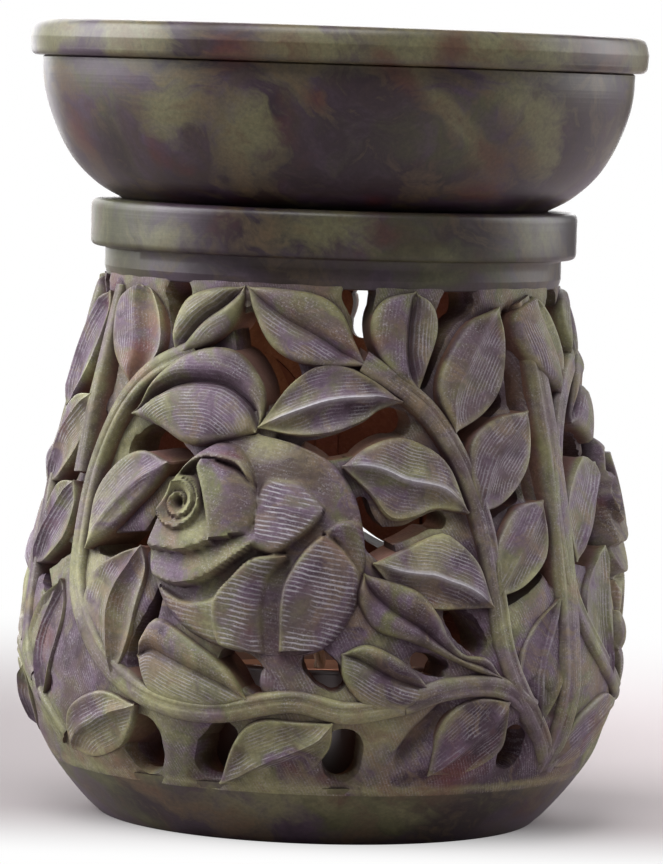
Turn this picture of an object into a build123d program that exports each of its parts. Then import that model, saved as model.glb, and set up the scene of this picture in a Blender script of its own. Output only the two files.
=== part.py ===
"""Essential oil burner of carved soapstone: a pierced body, a loose oil dish and a tealight.

Lengths are in millimetres, +Z is up and the origin is the middle of the foot's underside.
The front panel faces -Y.
"""
import math
import os

from build123d import *

# Driving dimensions
body_height = 79.3
dish_height = 22.7
rim_diameter = 80.0
belly_diameter = 78.4
foot_diameter = 57.2
neck_diameter = 59.2
ring_diameter = 63.2
mouth_diameter = 46.0
wall_thickness = 7.0
floor_thickness = 6.0

# Bands of the turned body, from the seat downwards, and its other heights as shares of its own
ring_band = 6.1
neck_band = 3.7
belly_height_share = 0.265
ledge_height_share = 0.101

# Loose fits
seat_clearance = 0.4
foil_clearance = 0.1
wick_clearance = 0.05

# Dish
rim_band = 4.6
rim_round = 1.6
rim_overhang = 1.7
rim_wall = 4.6
rim_lip_round = 0.8
dish_floor = 5.0
dish_seat_share = 0.6875
dish_turn_height = 7.5
dish_turn_inset = 2.7
spigot_depth = 2.0
spigot_bevel = 0.5
ring_round = 1.1
foot_round = 0.7

# Tealight
cup_diameter = 37.6
cup_height = 15.0
cup_wall = 0.35
cup_lip = 0.7
wax_height = 11.5
wick_diameter = 1.6
wick_showing = 6.5
tab_diameter = 12.0
tab_thickness = 0.3
collar_height = 3.0
collar_wall = 0.4

# Carved wall: each panel holds one rose among leaves, between two upright vines
front_panel_angle = 112.0
panel_count = 3
stem_width = 2.9
leaf_proud = 0.3
stem_proud = 1.2
pad_proud = -0.6
ground_depth = 1.7
skin_proud = 0.6
rose_room = 3.0
rose_radius = 14.0
rose_dome_radius = 38.0
rose_proud = -0.9
petal_lift = 2.6
bud_lift = 2.8
bud_floor = -1.3
carving_depth = 9.0
crease_depth = 0.9
stem_overlap = 0.9

# How finely the carving is cut
edge_cuts = 4
pad_sides = 8
rose_sides = 20
bud_sides = 10
skin_heights_share = (0.0, 0.09, 0.21, 0.45, 0.72, 1.0)

# Shape of the turned outline between neck, belly and foot
upper_bow = 1.35
lower_bow = 2.0
chamber_corner_share = 0.84
hollow_floor_share = 0.6
hollow_bow_share = 0.89
hollow_bow_height_share = 0.3
crease_reach_share = 0.42
round_middle_share = 0.293

# Leaves: base across, base up, tip across, tip up, bulge to the left, bulge to the right.
# Across runs from -1 to 1 between the panel's two vines, up from 0 at the ledge to 1 at the neck.
# A bulge is a share of the leaf's own length.
leaf_shares = (
    (-0.88, 0.78, -0.92, 1.02, 0.32, 0.32),
    (-0.66, 0.84, -0.37, 1.02, 0.29, 0.26),
    (0.16, 0.85, -0.37, 1.02, 0.27, 0.28),
    (0.36, 0.78, 0.35, 1.04, 0.36, 0.19),
    (0.49, 0.71, 0.78, 0.98, 0.27, 0.19),
    (0.57, 0.56, 0.86, 0.77, 0.28, 0.23),
    (0.62, 0.38, 0.88, 0.59, 0.23, 0.25),
    (0.82, 0.10, 0.91, 0.40, 0.27, 0.25),
    (-0.74, 0.77, -0.25, 0.71, 0.48, 0.18),
    (0.30, 0.79, -0.26, 0.72, 0.17, 0.36),
    (0.53, 0.56, 0.05, 0.65, 0.23, 0.35),
    (0.63, 0.37, 0.17, 0.45, 0.17, 0.38),
    (0.63, 0.25, 0.10, 0.40, 0.14, 0.12),
    (0.39, 0.20, 0.05, 0.30, 0.39, 0.12),
    (-0.97, 0.45, -0.58, 0.64, 0.34, 0.12),
    (-0.75, 0.20, -0.68, 0.47, 0.43, 0.14),
    (-0.24, 0.17, -0.63, 0.28, 0.31, 0.27),
    (0.69, 0.19, 0.39, 0.02, 0.31, 0.36),
    (0.09, 0.16, -0.35, -0.01, 0.21, 0.29),
    (-0.45, 0.16, -0.53, -0.02, 0.24, 0.28),
    (-0.63, 0.16, -1.06, 0.02, 0.24, 0.25),
    (0.22, 0.18, 0.22, -0.02, 0.26, 0.26),
)

# Vines: places along each stem, across and up as for the leaves. Every second one is a joint.
stem_shares = (
    ((0.28, 0.18), (0.09, 0.165), (-0.09, 0.17), (-0.34, 0.155), (-0.55, 0.165), (-0.73, 0.21),
     (-0.88, 0.29), (-0.95, 0.38), (-0.975, 0.50), (-0.96, 0.62), (-0.89, 0.74), (-0.76, 0.82),
     (-0.58, 0.865)),
    ((0.93, 0.06), (0.75, 0.18), (0.66, 0.28), (0.63, 0.40), (0.59, 0.53), (0.52, 0.65),
     (0.42, 0.75), (0.29, 0.81), (0.14, 0.86)),
    ((0.93, 1.03), (0.98, 0.91), (1.0, 0.78), (0.99, 0.64), (0.98, 0.50), (0.98, 0.36),
     (0.97, 0.24), (0.97, 0.12), (0.96, 0.01)),
    ((0.28, 0.18), (0.52, 0.21), (0.76, 0.17)),
)

# Plain pads of stone left between the leaves: across, up, radius as a share of the rose's
pad_shares = (
    (-0.12, 0.22, 0.22),
    (0.51, 0.22, 0.22),
    (-0.26, 0.715, 0.18),
    (0.20, 0.36, 0.28),
    (-0.37, 1.0, 0.16),
    (0.92, 0.03, 0.20),
)

# Holes drilled and filed through the plain stone between the leaves: from and to, each across and up,
# then the width as a share of the rose's radius.
hole_shares = (
    (-0.72, 0.98, -0.69, 0.88, 0.20),
    (-0.35, 0.91, -0.17, 0.83, 0.30),
    (-0.77, 0.68, -0.59, 0.66, 0.27),
    (-0.88, 0.465, -0.70, 0.465, 0.17),
    (-0.65, 0.21, -0.58, 0.38, 0.18),
    (-0.645, 0.035, -0.65, 0.08, 0.42),
    (-0.38, 0.04, -0.32, 0.10, 0.36),
    (-0.28, 0.26, -0.20, 0.21, 0.27),
    (-0.005, 0.265, 0.04, 0.23, 0.32),
    (0.09, 0.045, 0.09, 0.08, 0.38),
    (0.73, 0.06, 0.735, 0.10, 0.30),
    (0.34, 0.265, 0.40, 0.255, 0.20),
    (0.47, 0.355, 0.54, 0.305, 0.30),
    (0.81, 0.185, 0.84, 0.165, 0.27),
    (-0.06, 0.685, 0.10, 0.69, 0.18),
    (0.10, 0.695, 0.27, 0.745, 0.22),
    (0.15, 0.57, 0.22, 0.495, 0.24),
    (0.24, 0.525, 0.42, 0.55, 0.17),
    (0.12, 0.985, 0.14, 0.90, 0.24),
    (0.58, 0.985, 0.50, 0.93, 0.30),
    (0.48, 0.92, 0.40, 0.83, 0.15),
    (0.56, 0.72, 0.77, 0.795, 0.15),
    (0.64, 0.56, 0.78, 0.60, 0.15),
    (0.69, 0.385, 0.87, 0.44, 0.16),
)

# Rose: where it sits in the panel, then its petals in shares of its radius about its middle.
# Each petal: base, tip, bulge to the left, bulge to the right, height above the boss.
rose_place_share = (-0.22, 0.49)
petal_shares = (
    (0.00, 0.84, 0.88, 0.28, 0.24, 0.20, 0.30),
    (-0.66, 0.66, 0.00, 0.50, 0.36, 0.04, 0.75),
    (-0.30, 0.02, -0.12, 0.70, 0.28, 0.24, 1.00),
    (-0.93, -0.18, -0.02, 0.10, 0.04, 0.28, 0.80),
    (-0.82, -0.50, -0.08, -0.20, 0.10, 0.26, 0.35),
    (-0.24, -0.88, 0.30, -0.12, 0.24, 0.22, 0.60),
    (0.02, -0.02, 0.62, 0.30, 0.34, 0.22, 0.55),
    (0.28, -0.88, 0.60, 0.12, 0.26, 0.34, 0.80),
    (0.58, 0.14, 0.93, -0.14, 0.25, 0.15, 0.45),
)
bud_place_share = (-0.62, 0.33)
bud_radius_share = 0.25
bud_hollow_share = 0.13

# Values that follow from the ones above
rim_radius = rim_diameter / 2
belly_radius = belly_diameter / 2
foot_radius = foot_diameter / 2
neck_radius = neck_diameter / 2
ring_radius = ring_diameter / 2
mouth_radius = mouth_diameter / 2
seat_height = body_height
ring_height = seat_height - ring_band
neck_height = ring_height - neck_band
belly_height = belly_height_share * body_height
ledge_height = ledge_height_share * body_height
total_height = body_height + dish_height
carved_height = neck_height - ledge_height
side_panel_angle = (360 - front_panel_angle) / (panel_count - 1)
dish_seat_radius = dish_seat_share * rim_radius
spigot_radius = mouth_radius - seat_clearance
chamber_floor = floor_thickness
belly_inside = belly_radius - wall_thickness
corner_inside = chamber_corner_share * belly_inside
ledge_inside = corner_inside + (belly_inside - corner_inside) * (
    (ledge_height - chamber_floor) / (belly_height - chamber_floor))
cup_radius = cup_diameter / 2
wax_radius = cup_radius - cup_wall - foil_clearance
wax_bottom = chamber_floor + cup_wall
wax_top = wax_bottom + wax_height
wick_radius = wick_diameter / 2
collar_inside = wick_radius + wick_clearance
collar_radius = collar_inside + collar_wall
tab_radius = tab_diameter / 2
tab_top = wax_bottom + tab_thickness


def wall_radius(z):
    """Outer radius of the turned body at height z."""
    if z >= belly_height:
        rise = (z - belly_height) / (neck_height - belly_height)
        return belly_radius - (belly_radius - neck_radius) * rise ** upper_bow
    drop = (belly_height - z) / belly_height
    return belly_radius - (belly_radius - foot_radius) * drop ** lower_bow


def wall_slope(z):
    """How fast the outer radius changes with height at z."""
    step = carved_height / 100
    return (wall_radius(z + step) - wall_radius(z - step)) / (2 * step)


def wall_point(across, up, half_angle):
    """Place on the outer wall for a pair of panel shares, as a point."""
    angle = math.radians(across * half_angle)
    z = ledge_height + up * carved_height
    radius = wall_radius(z)
    return Vector(radius * math.sin(angle), -radius * math.cos(angle), z)


def wall_plane(across, up, half_angle, sink):
    """Plane lying on the wall at a pair of panel shares, sunk a little below it."""
    angle = math.radians(across * half_angle)
    z = ledge_height + up * carved_height
    outward = Vector(math.sin(angle), -math.cos(angle), -wall_slope(z)).normalized()
    sideways = Vector(math.cos(angle), math.sin(angle), 0)
    place = wall_point(across, up, half_angle) - outward * sink
    return Plane(origin=place, x_dir=sideways, z_dir=outward)


def flat_on(plane, point):
    """A point in space as a flat point of the plane."""
    local = plane.to_local_coords(point)
    return Vector(local.X, local.Y, 0)


def side_of(start, end):
    """Unit vector to the left of the way from start to end."""
    way = (end - start).normalized()
    return Vector(-way.Y, way.X, 0)


def turned(points_and_edges):
    """Solid of revolution about the upright axis from the edges of a half outline."""
    outline = make_face(points_and_edges)
    return revolve(Plane.XZ * outline, axis=Axis.Z)


def upright(radius, bottom, top):
    """Upright cylinder on the axis between two heights."""
    return Pos(0, 0, bottom) * extrude(Circle(radius), amount=top - bottom)


def round_band(radius, bottom, top, rounding):
    """Turned band with both outer edges rounded."""
    band = upright(radius, bottom, top)
    return fillet(band.edges().filter_by(GeomType.CIRCLE), rounding)


def blade(plane, base, tip, left, right, proud, crease):
    """Pointed leaf or petal with two arched edges, its top creased along the middle."""
    length = (tip - base).length
    aside = side_of(base, tip)
    corners = [base]
    for bulge, order in ((left, 1), (-right, -1)):
        steps = range(1, edge_cuts)[::order]
        for share in (step / edge_cuts for step in steps):
            swell = 4 * share * (1 - share) * bulge * length
            corners.append(base + (tip - base) * share + aside * swell)
        corners.append(tip if order == 1 else base)
    outline = make_face(Polyline(*corners))
    solid = plane * Pos(0, 0, proud) * extrude(outline, amount=-carving_depth - proud)
    if crease > 0:
        reach = crease_reach_share * length
        shift = aside * ((left - right) * length / 4)
        trough_plane = Plane(
            origin=plane.from_local_coords(base + shift),
            x_dir=plane.from_local_coords(aside) - plane.origin,
            z_dir=plane.from_local_coords(tip) - plane.from_local_coords(base),
        )
        lift = plane.z_dir.dot(trough_plane.y_dir)
        trough = make_face(Polyline(
            (-reach, lift * (proud + crease)),
            (reach, lift * (proud + crease)),
            (0, lift * (proud - crease)),
            close=True,
        ))
        solid = solid - trough_plane * extrude(trough, amount=length)
    return solid


def leaf(shares, half_angle):
    """One leaf of the wall from its row of shares."""
    base_across, base_up, tip_across, tip_up, left, right = shares
    span = (wall_point(tip_across, tip_up, half_angle)
            - wall_point(base_across, base_up, half_angle)).length
    sink = span ** 2 / (16 * belly_radius)
    plane = wall_plane((base_across + tip_across) / 2, (base_up + tip_up) / 2, half_angle, sink)
    base = flat_on(plane, wall_point(base_across, base_up, half_angle))
    tip = flat_on(plane, wall_point(tip_across, tip_up, half_angle))
    return blade(plane, base, tip, left, right, leaf_proud, crease_depth)


def stem_piece(start, middle, end, half_angle):
    """One stretch of vine through three places."""
    plane = wall_plane(middle[0], middle[1], half_angle, 0)
    first, centre, last = (flat_on(plane, wall_point(*place, half_angle))
                           for place in (start, middle, end))
    first = first - (centre - first).normalized() * stem_overlap
    last = last + (last - centre).normalized() * stem_overlap
    half = stem_width / 2
    aside_first = side_of(first, centre) * half
    aside_last = side_of(centre, last) * half
    aside_middle = side_of(first, last) * half
    outline = Polyline(
        first + aside_first, centre + aside_middle, last + aside_last,
        last - aside_last, centre - aside_middle, first - aside_first,
        close=True,
    )
    band = extrude(make_face(outline), amount=-carving_depth - stem_proud)
    return plane * Pos(0, 0, stem_proud) * band


def pad(across, up, radius_share, half_angle):
    """Plain round pad of stone between leaves."""
    plane = wall_plane(across, up, half_angle, 0)
    disc = extrude(RegularPolygon(radius_share * rose_radius, pad_sides), amount=-carving_depth)
    return plane * Pos(0, 0, pad_proud) * disc


def dome(plane, lift):
    """Ball whose crown stands the given lift above the plane's middle."""
    return plane * Pos(0, 0, lift - rose_dome_radius) * Sphere(rose_dome_radius)


def rose(half_angle):
    """Rose boss with overlapping domed petals and a hollow bud, as pieces and the hollow."""
    plane = wall_plane(*rose_place_share, half_angle, 0)
    deep = Pos(0, 0, -carving_depth)
    tall = carving_depth + rose_proud + bud_lift
    boss = plane * deep * extrude(RegularPolygon(rose_radius, rose_sides), amount=tall)
    pieces = [boss & dome(plane, rose_proud)]
    for base_x, base_y, tip_x, tip_y, left, right, rise in petal_shares:
        base = Vector(base_x, base_y, 0) * rose_radius
        tip = Vector(tip_x, tip_y, 0) * rose_radius
        petal = blade(plane, base, tip, left, right, rose_proud + bud_lift, 0)
        pieces.append(petal & dome(plane, rose_proud + petal_lift * rise))
    bud_x, bud_y = (share * rose_radius for share in bud_place_share)
    at_bud = Pos(bud_x, bud_y, 0)
    bud_outline = RegularPolygon(bud_radius_share * rose_radius, bud_sides)
    bud = plane * at_bud * deep * extrude(bud_outline, amount=tall)
    pieces.append(bud & dome(plane, rose_proud + bud_lift))
    hollow_outline = RegularPolygon(bud_hollow_share * rose_radius, bud_sides)
    hollow = plane * at_bud * Pos(0, 0, bud_floor) * extrude(hollow_outline, amount=rose_radius)
    return pieces, hollow


def wall_outline(proud):
    """Outer outline of the carved wall from the ledge to the neck, as places in radius and height."""
    heights = (ledge_height + share * carved_height for share in skin_heights_share)
    return [(wall_radius(z) + proud, z) for z in heights]


def skin():
    """Turned blank that the wall was carved from, a little proud of the finished wall."""
    outside = wall_outline(skin_proud)
    return turned([Polyline((0, ledge_height), *outside, (0, neck_height), close=True)])


def wall_sector(half_angle, proud):
    """Stretch of plain turned wall as wide as one panel, centred on -Y."""
    inside = [(mouth_radius, neck_height), (belly_inside, belly_height),
              (ledge_inside, ledge_height)]
    outline = make_face(Polyline(*wall_outline(proud), *inside, close=True))
    sector = revolve(Plane.XZ * outline, axis=Axis.Z, revolution_arc=2 * half_angle)
    return Rot(0, 0, -90 - half_angle) * sector


def hole(start_across, start_up, end_across, end_up, width_share, half_angle):
    """Slot with round ends, drilled straight through the wall."""
    plane = wall_plane((start_across + end_across) / 2, (start_up + end_up) / 2, half_angle, 0)
    start = flat_on(plane, wall_point(start_across, start_up, half_angle))
    end = flat_on(plane, wall_point(end_across, end_up, half_angle))
    middle = (start + end) / 2
    slot = SlotCenterPoint((middle.X, middle.Y), (end.X, end.Y), width_share * rose_radius)
    return plane * extrude(slot, amount=carving_depth, both=True)


def ground(half_angle):
    """Plain stone between the leaves, sunk below them and pierced."""
    holes = [hole(*shares, half_angle) for shares in hole_shares]
    return wall_sector(half_angle, -ground_depth).cut(*holes)


def panel(angle):
    """One panel of the pierced wall, centred on -Y."""
    half_angle = angle / 2
    pieces = [leaf(shares, half_angle) for shares in leaf_shares]
    for places in stem_shares:
        for joint in range(0, len(places) - 1, 2):
            pieces.append(stem_piece(*places[joint:joint + 3], half_angle))
    pieces.extend(pad(*shares, half_angle) for shares in pad_shares)
    wall = pieces[0].fuse(*pieces[1:]) & skin()
    rose_pieces, hollow = rose(half_angle)
    carved = wall.fuse(*rose_pieces) - hollow
    return (carved & wall_sector(half_angle, rose_room)).fuse(ground(half_angle))


def carved_panels():
    """The three panels of the wall in their places round the body."""
    turn = (front_panel_angle + side_panel_angle) / 2
    side = panel(side_panel_angle)
    return {
        "panel_front": panel(front_panel_angle),
        "panel_right": Rot(0, 0, turn) * side,
        "panel_left": Rot(0, 0, -turn) * side,
    }


def foot():
    """Plain turned foot with the chamber floor."""
    ledge_radius = wall_radius(ledge_height)
    waist_height = ledge_height / 2
    return turned([
        Line((0, 0), (foot_radius - foot_round, 0)),
        Line((foot_radius - foot_round, 0), (foot_radius, foot_round)),
        ThreePointArc((foot_radius, foot_round), (wall_radius(waist_height), waist_height),
                      (ledge_radius, ledge_height)),
        Line((ledge_radius, ledge_height), (ledge_inside, ledge_height)),
        Line((ledge_inside, ledge_height), (corner_inside, chamber_floor)),
        Line((corner_inside, chamber_floor), (0, chamber_floor)),
        Line((0, chamber_floor), (0, 0)),
    ])


def collar():
    """Neck band and seat ring round the mouth."""
    neck = upright(neck_radius, neck_height, ring_height)
    ring = round_band(ring_radius, ring_height, seat_height, ring_round)
    return neck.fuse(ring) - upright(mouth_radius, neck_height, seat_height)


def oil_dish():
    """Loose dish with a rounded rim band, a bowl and a shallow spigot for the mouth."""
    band_bottom = total_height - rim_band
    wall_top = rim_radius - rim_overhang
    turn = (wall_top - dish_turn_inset, seat_height + dish_turn_height)
    upper = TangentArc((wall_top, band_bottom), turn, tangent=(0, -1))
    lower = TangentArc(turn, (dish_seat_radius, seat_height), tangent=upper % 1)
    outside = turned([
        upper,
        lower,
        Line((dish_seat_radius, seat_height), (0, seat_height)),
        Line((0, seat_height), (0, total_height)),
        Line((0, total_height), (wall_top, total_height)),
        Line((wall_top, total_height), (wall_top, band_bottom)),
    ])
    rim = round_band(rim_radius, band_bottom, total_height, rim_round)
    spigot = upright(spigot_radius, seat_height - spigot_depth, seat_height + dish_floor / 2)
    spigot = chamfer(spigot.edges().sort_by(Axis.Z)[0], spigot_bevel)
    inner_top = rim_radius - rim_wall
    lip_start = total_height - rim_lip_round
    lip_middle = rim_lip_round * round_middle_share
    inner_floor = seat_height + dish_floor
    inner_bow = (inner_top * hollow_bow_share,
                 inner_floor + (lip_start - inner_floor) * hollow_bow_height_share)
    floor_edge = (inner_top * hollow_floor_share, inner_floor)
    lip_edge = (inner_top + rim_lip_round, total_height)
    hollow = turned([
        Line((0, inner_floor), floor_edge),
        ThreePointArc(floor_edge, inner_bow, (inner_top, lip_start)),
        ThreePointArc((inner_top, lip_start),
                      (inner_top + lip_middle, total_height - lip_middle), lip_edge),
        Line(lip_edge, (0, total_height)),
        Line((0, total_height), (0, inner_floor)),
    ])
    return outside.fuse(rim, spigot) - hollow


def tealight_cup():
    """Thin metal cup with a lip rolled out at the top."""
    top = chamber_floor + cup_height
    outside = upright(cup_radius, chamber_floor, top)
    lip = upright(cup_radius + cup_lip, top - cup_lip, top)
    inside = upright(cup_radius - cup_wall, chamber_floor + cup_wall, top)
    return outside.fuse(lip) - inside


def tealight_wax():
    """Wax slug with room for the wick, its collar and its tab."""
    slug = upright(wax_radius, wax_bottom, wax_top)
    tab_room = upright(tab_radius + foil_clearance, wax_bottom, tab_top)
    collar_room = upright(collar_radius + foil_clearance, wax_bottom, tab_top + collar_height)
    wick_room = upright(wick_radius + wick_clearance, wax_bottom, wax_top)
    return slug - tab_room - collar_room - wick_room


def wick():
    """Braided cotton wick standing in the tab's collar."""
    return upright(wick_radius, tab_top, wax_top + wick_showing)


def wick_tab():
    """Round steel tab with the collar that holds the wick."""
    plate = upright(tab_radius, wax_bottom, tab_top)
    collar = upright(collar_radius, wax_bottom, tab_top + collar_height)
    room = upright(collar_inside, tab_top, tab_top + collar_height)
    return plate.fuse(collar) - room


def save_parts():
    """Write each piece to its own file."""
    pieces = {
        "foot": foot(),
        **carved_panels(),
        "collar": collar(),
        "oil_dish": oil_dish(),
        "tealight_cup": tealight_cup(),
        "tealight_wax": tealight_wax(),
        "wick": wick(),
        "wick_tab": wick_tab(),
    }
    os.makedirs("parts", exist_ok=True)
    for name, piece in pieces.items():
        export_step(piece, f"parts/{name}.step")


save_parts()
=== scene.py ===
"""Dresses the carved soapstone oil burner: turned stone, pierced rose and vine wall, tealight and stage."""
import math

import bpy
import numpy as np
from bpy.props import FloatProperty, FloatVectorProperty, IntProperty, PointerProperty
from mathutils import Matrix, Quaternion, Vector


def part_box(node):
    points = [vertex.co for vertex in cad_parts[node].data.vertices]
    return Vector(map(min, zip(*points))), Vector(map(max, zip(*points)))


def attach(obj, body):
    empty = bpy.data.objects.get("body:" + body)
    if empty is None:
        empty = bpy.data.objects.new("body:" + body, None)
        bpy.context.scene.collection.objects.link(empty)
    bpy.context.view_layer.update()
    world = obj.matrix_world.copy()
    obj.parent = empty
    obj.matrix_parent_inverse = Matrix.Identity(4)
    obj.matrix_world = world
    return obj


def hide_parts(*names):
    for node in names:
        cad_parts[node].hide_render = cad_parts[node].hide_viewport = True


bl_info = {
    "name": "Carved Oil Burner",
    "version": (1, 0, 0),
    "blender": (4, 5, 0),
    "location": "View3D > Sidebar > Oil Burner",
    "description": "Carved soapstone oil burner with a loose dish and a tealight",
    "category": "Add Mesh",
}

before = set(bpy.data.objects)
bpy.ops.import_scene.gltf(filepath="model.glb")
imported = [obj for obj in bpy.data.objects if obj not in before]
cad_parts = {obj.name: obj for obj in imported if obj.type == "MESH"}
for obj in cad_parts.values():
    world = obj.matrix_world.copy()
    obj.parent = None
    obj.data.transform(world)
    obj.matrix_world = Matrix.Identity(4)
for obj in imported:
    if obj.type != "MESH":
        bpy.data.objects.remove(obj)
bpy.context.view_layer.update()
MM = 0.001
# How far below a carving's top its cut sides begin.
SHOULDER = 1.0 * MM


def tone(code):
    """Linear colour of an sRGB hex value, with full alpha."""
    parts = [int(code[place:place + 2], 16) / 255 for place in (0, 2, 4)]
    return tuple(c / 12.92 if c <= 0.04045 else ((c + 0.055) / 1.055) ** 2.4 for c in parts) + (1.0,)


def length(name, description, default):
    """A length in metres that the user can change."""
    return FloatProperty(name=name, description=description, default=default, unit="LENGTH", precision=5)


def paint(name, description, code):
    """A colour that the user can change."""
    return FloatVectorProperty(name=name, description=description, default=tone(code), size=4,
                               subtype="COLOR", min=0, max=1)


def amount(name, description, default):
    """A plain number that the user can change."""
    return FloatProperty(name=name, description=description, default=default)


def slant(name, description, degrees):
    """An angle that the user can change."""
    return FloatProperty(name=name, description=description, default=math.radians(degrees), subtype="ANGLE")


def power(name, description, watts):
    """Power of a light that the user can change."""
    return FloatProperty(name=name, description=description, default=watts, unit="POWER")


PANEL_LOW, PANEL_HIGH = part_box("panel_front")
_, COLLAR_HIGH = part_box("collar")
DISH_LOW, DISH_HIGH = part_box("oil_dish")
CUP_LOW, CUP_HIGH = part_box("tealight_cup")
WAX_LOW, WAX_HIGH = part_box("tealight_wax")
WICK_LOW, WICK_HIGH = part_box("wick")
TAB_LOW, TAB_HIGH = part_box("wick_tab")


class OILBURNER_PG_wall(bpy.types.PropertyGroup):
    """Turned outline of the body and how deeply it is carved."""
    belly_radius: length("Belly radius", "Widest radius of the turned body", 0.0392)
    neck_radius: length("Neck radius", "Radius where the carving ends under the seat ring", 0.0296)
    foot_radius: length("Foot radius", "Radius of the foot on the table", 0.0286)
    belly_height: length("Belly height", "Height of the widest place", 0.0210)
    ledge_height: length("Ledge height", "Height where the carving begins", PANEL_LOW.z)
    neck_height: length("Neck height", "Height where the carving ends", PANEL_HIGH.z)
    chamber_belly: length("Chamber radius", "Widest radius of the hollow", 0.0322)
    chamber_ledge: length("Chamber foot", "Radius of the hollow where the carving begins", 0.02775)
    mouth_radius: length("Mouth radius", "Radius of the hollow at the neck", 0.0230)
    floor_height: length("Floor height", "Height of the chamber floor", 0.0060)
    edge_round: length("Edge rounding", "Rounding that sanding left on the carved edges", 0.0005)
    leaf_lift: length("Leaf lift", "How far leaves stand above the turned wall", 0.0002)
    stem_lift: length("Stem lift", "How far vines stand above the turned wall", 0.0003)
    stem_width: length("Stem width", "Width of a vine", 0.0030)
    ground_depth: length("Ground depth", "How far the stone between the leaves lies below the wall", 0.0013)
    rose_crown: length("Rose crown", "How far the middle of a rose stands proud", 0.0009)
    rose_radius: length("Rose radius", "Radius of a rose", 0.0142)


class OILBURNER_PG_stone(bpy.types.PropertyGroup):
    """Colours and tool marks of the soapstone."""
    olive: paint("Olive", "Green ground of the stone", "5c5c3b")
    cream: paint("Cream", "Palest clouds", "8e8c63")
    lilac: paint("Lilac", "Grey purple clouds", "5d4a5c")
    plum: paint("Plum", "Dark purple clouds", "321d29")
    umber: paint("Umber", "Yellow brown veins", "4f3f28")
    rust: paint("Rust", "Red brown flecks", "66302a")
    dust: paint("Dust", "Stone dust left in the tool marks", "b0adb4")
    soot: paint("Soot", "Brown of the cut sides of the holes", "6a4a3c")
    hatch_spacing: length("Hatch spacing", "Distance between tool marks on a leaf", 0.00043)
    cloud_size: length("Cloud size", "Usual width of a colour cloud", 0.016)


class OILBURNER_PG_tealight(bpy.types.PropertyGroup):
    """Finishes of the tealight."""
    foil: paint("Foil", "Pressed aluminium of the cup", "c9c9cb")
    wax: paint("Wax", "White paraffin", "efece2")
    cotton: paint("Cotton", "Braided wick", "e2dccb")
    steel: paint("Steel", "Tinned tab under the wick", "a9a9ab")
    strands: IntProperty(name="Strands", description="Strands in the wick", default=3)


class OILBURNER_PG_stage(bpy.types.PropertyGroup):
    """Floor, light and camera."""
    # The floor's grey is painted shadow: it stays round the burner and turns to white further off.
    floor: paint("Floor", "Pale table top", "a89fa1")
    distance: length("Camera distance", "From the camera to the middle of the burner", 0.650)
    rise: slant("Camera rise", "Angle of the camera above level", 4.05)
    roll: slant("Camera roll", "How far the camera leans", 1.9)
    lens: amount("Lens", "Focal length in millimetres on a 36 mm sensor", 208.3)
    left_light: power("Left light", "Power of the large left panel", 6.2)
    right_light: power("Right light", "Power of the right panel", 2.8)
    top_light: power("Top light", "Power of the panel overhead", 4.2)
    back_light: power("Back light", "Power of the panel behind the burner", 5.0)
    sky: amount("Sky", "Strength of the even light from all round", 0.22)
    chamber_light: power("Chamber light", "Power of the light that lies inside the chamber", 0.005)
    chamber_colour: paint("Chamber colour", "Colour of the light inside the chamber", "ffb596")


class OILBURNER_PG_burner(bpy.types.PropertyGroup):
    """All the sizes and colours of the burner."""
    wall: PointerProperty(type=OILBURNER_PG_wall)
    stone: PointerProperty(type=OILBURNER_PG_stone)
    tealight: PointerProperty(type=OILBURNER_PG_tealight)
    stage: PointerProperty(type=OILBURNER_PG_stage)


def burner():
    """The burner's settings in this scene."""
    return bpy.context.scene.oil_burner


# Panels of the wall: name, middle in degrees from the front, half their angle.
PANELS = (("front", 0.0, 56.0), ("right", 118.0, 62.0), ("left", -118.0, 62.0))

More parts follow.
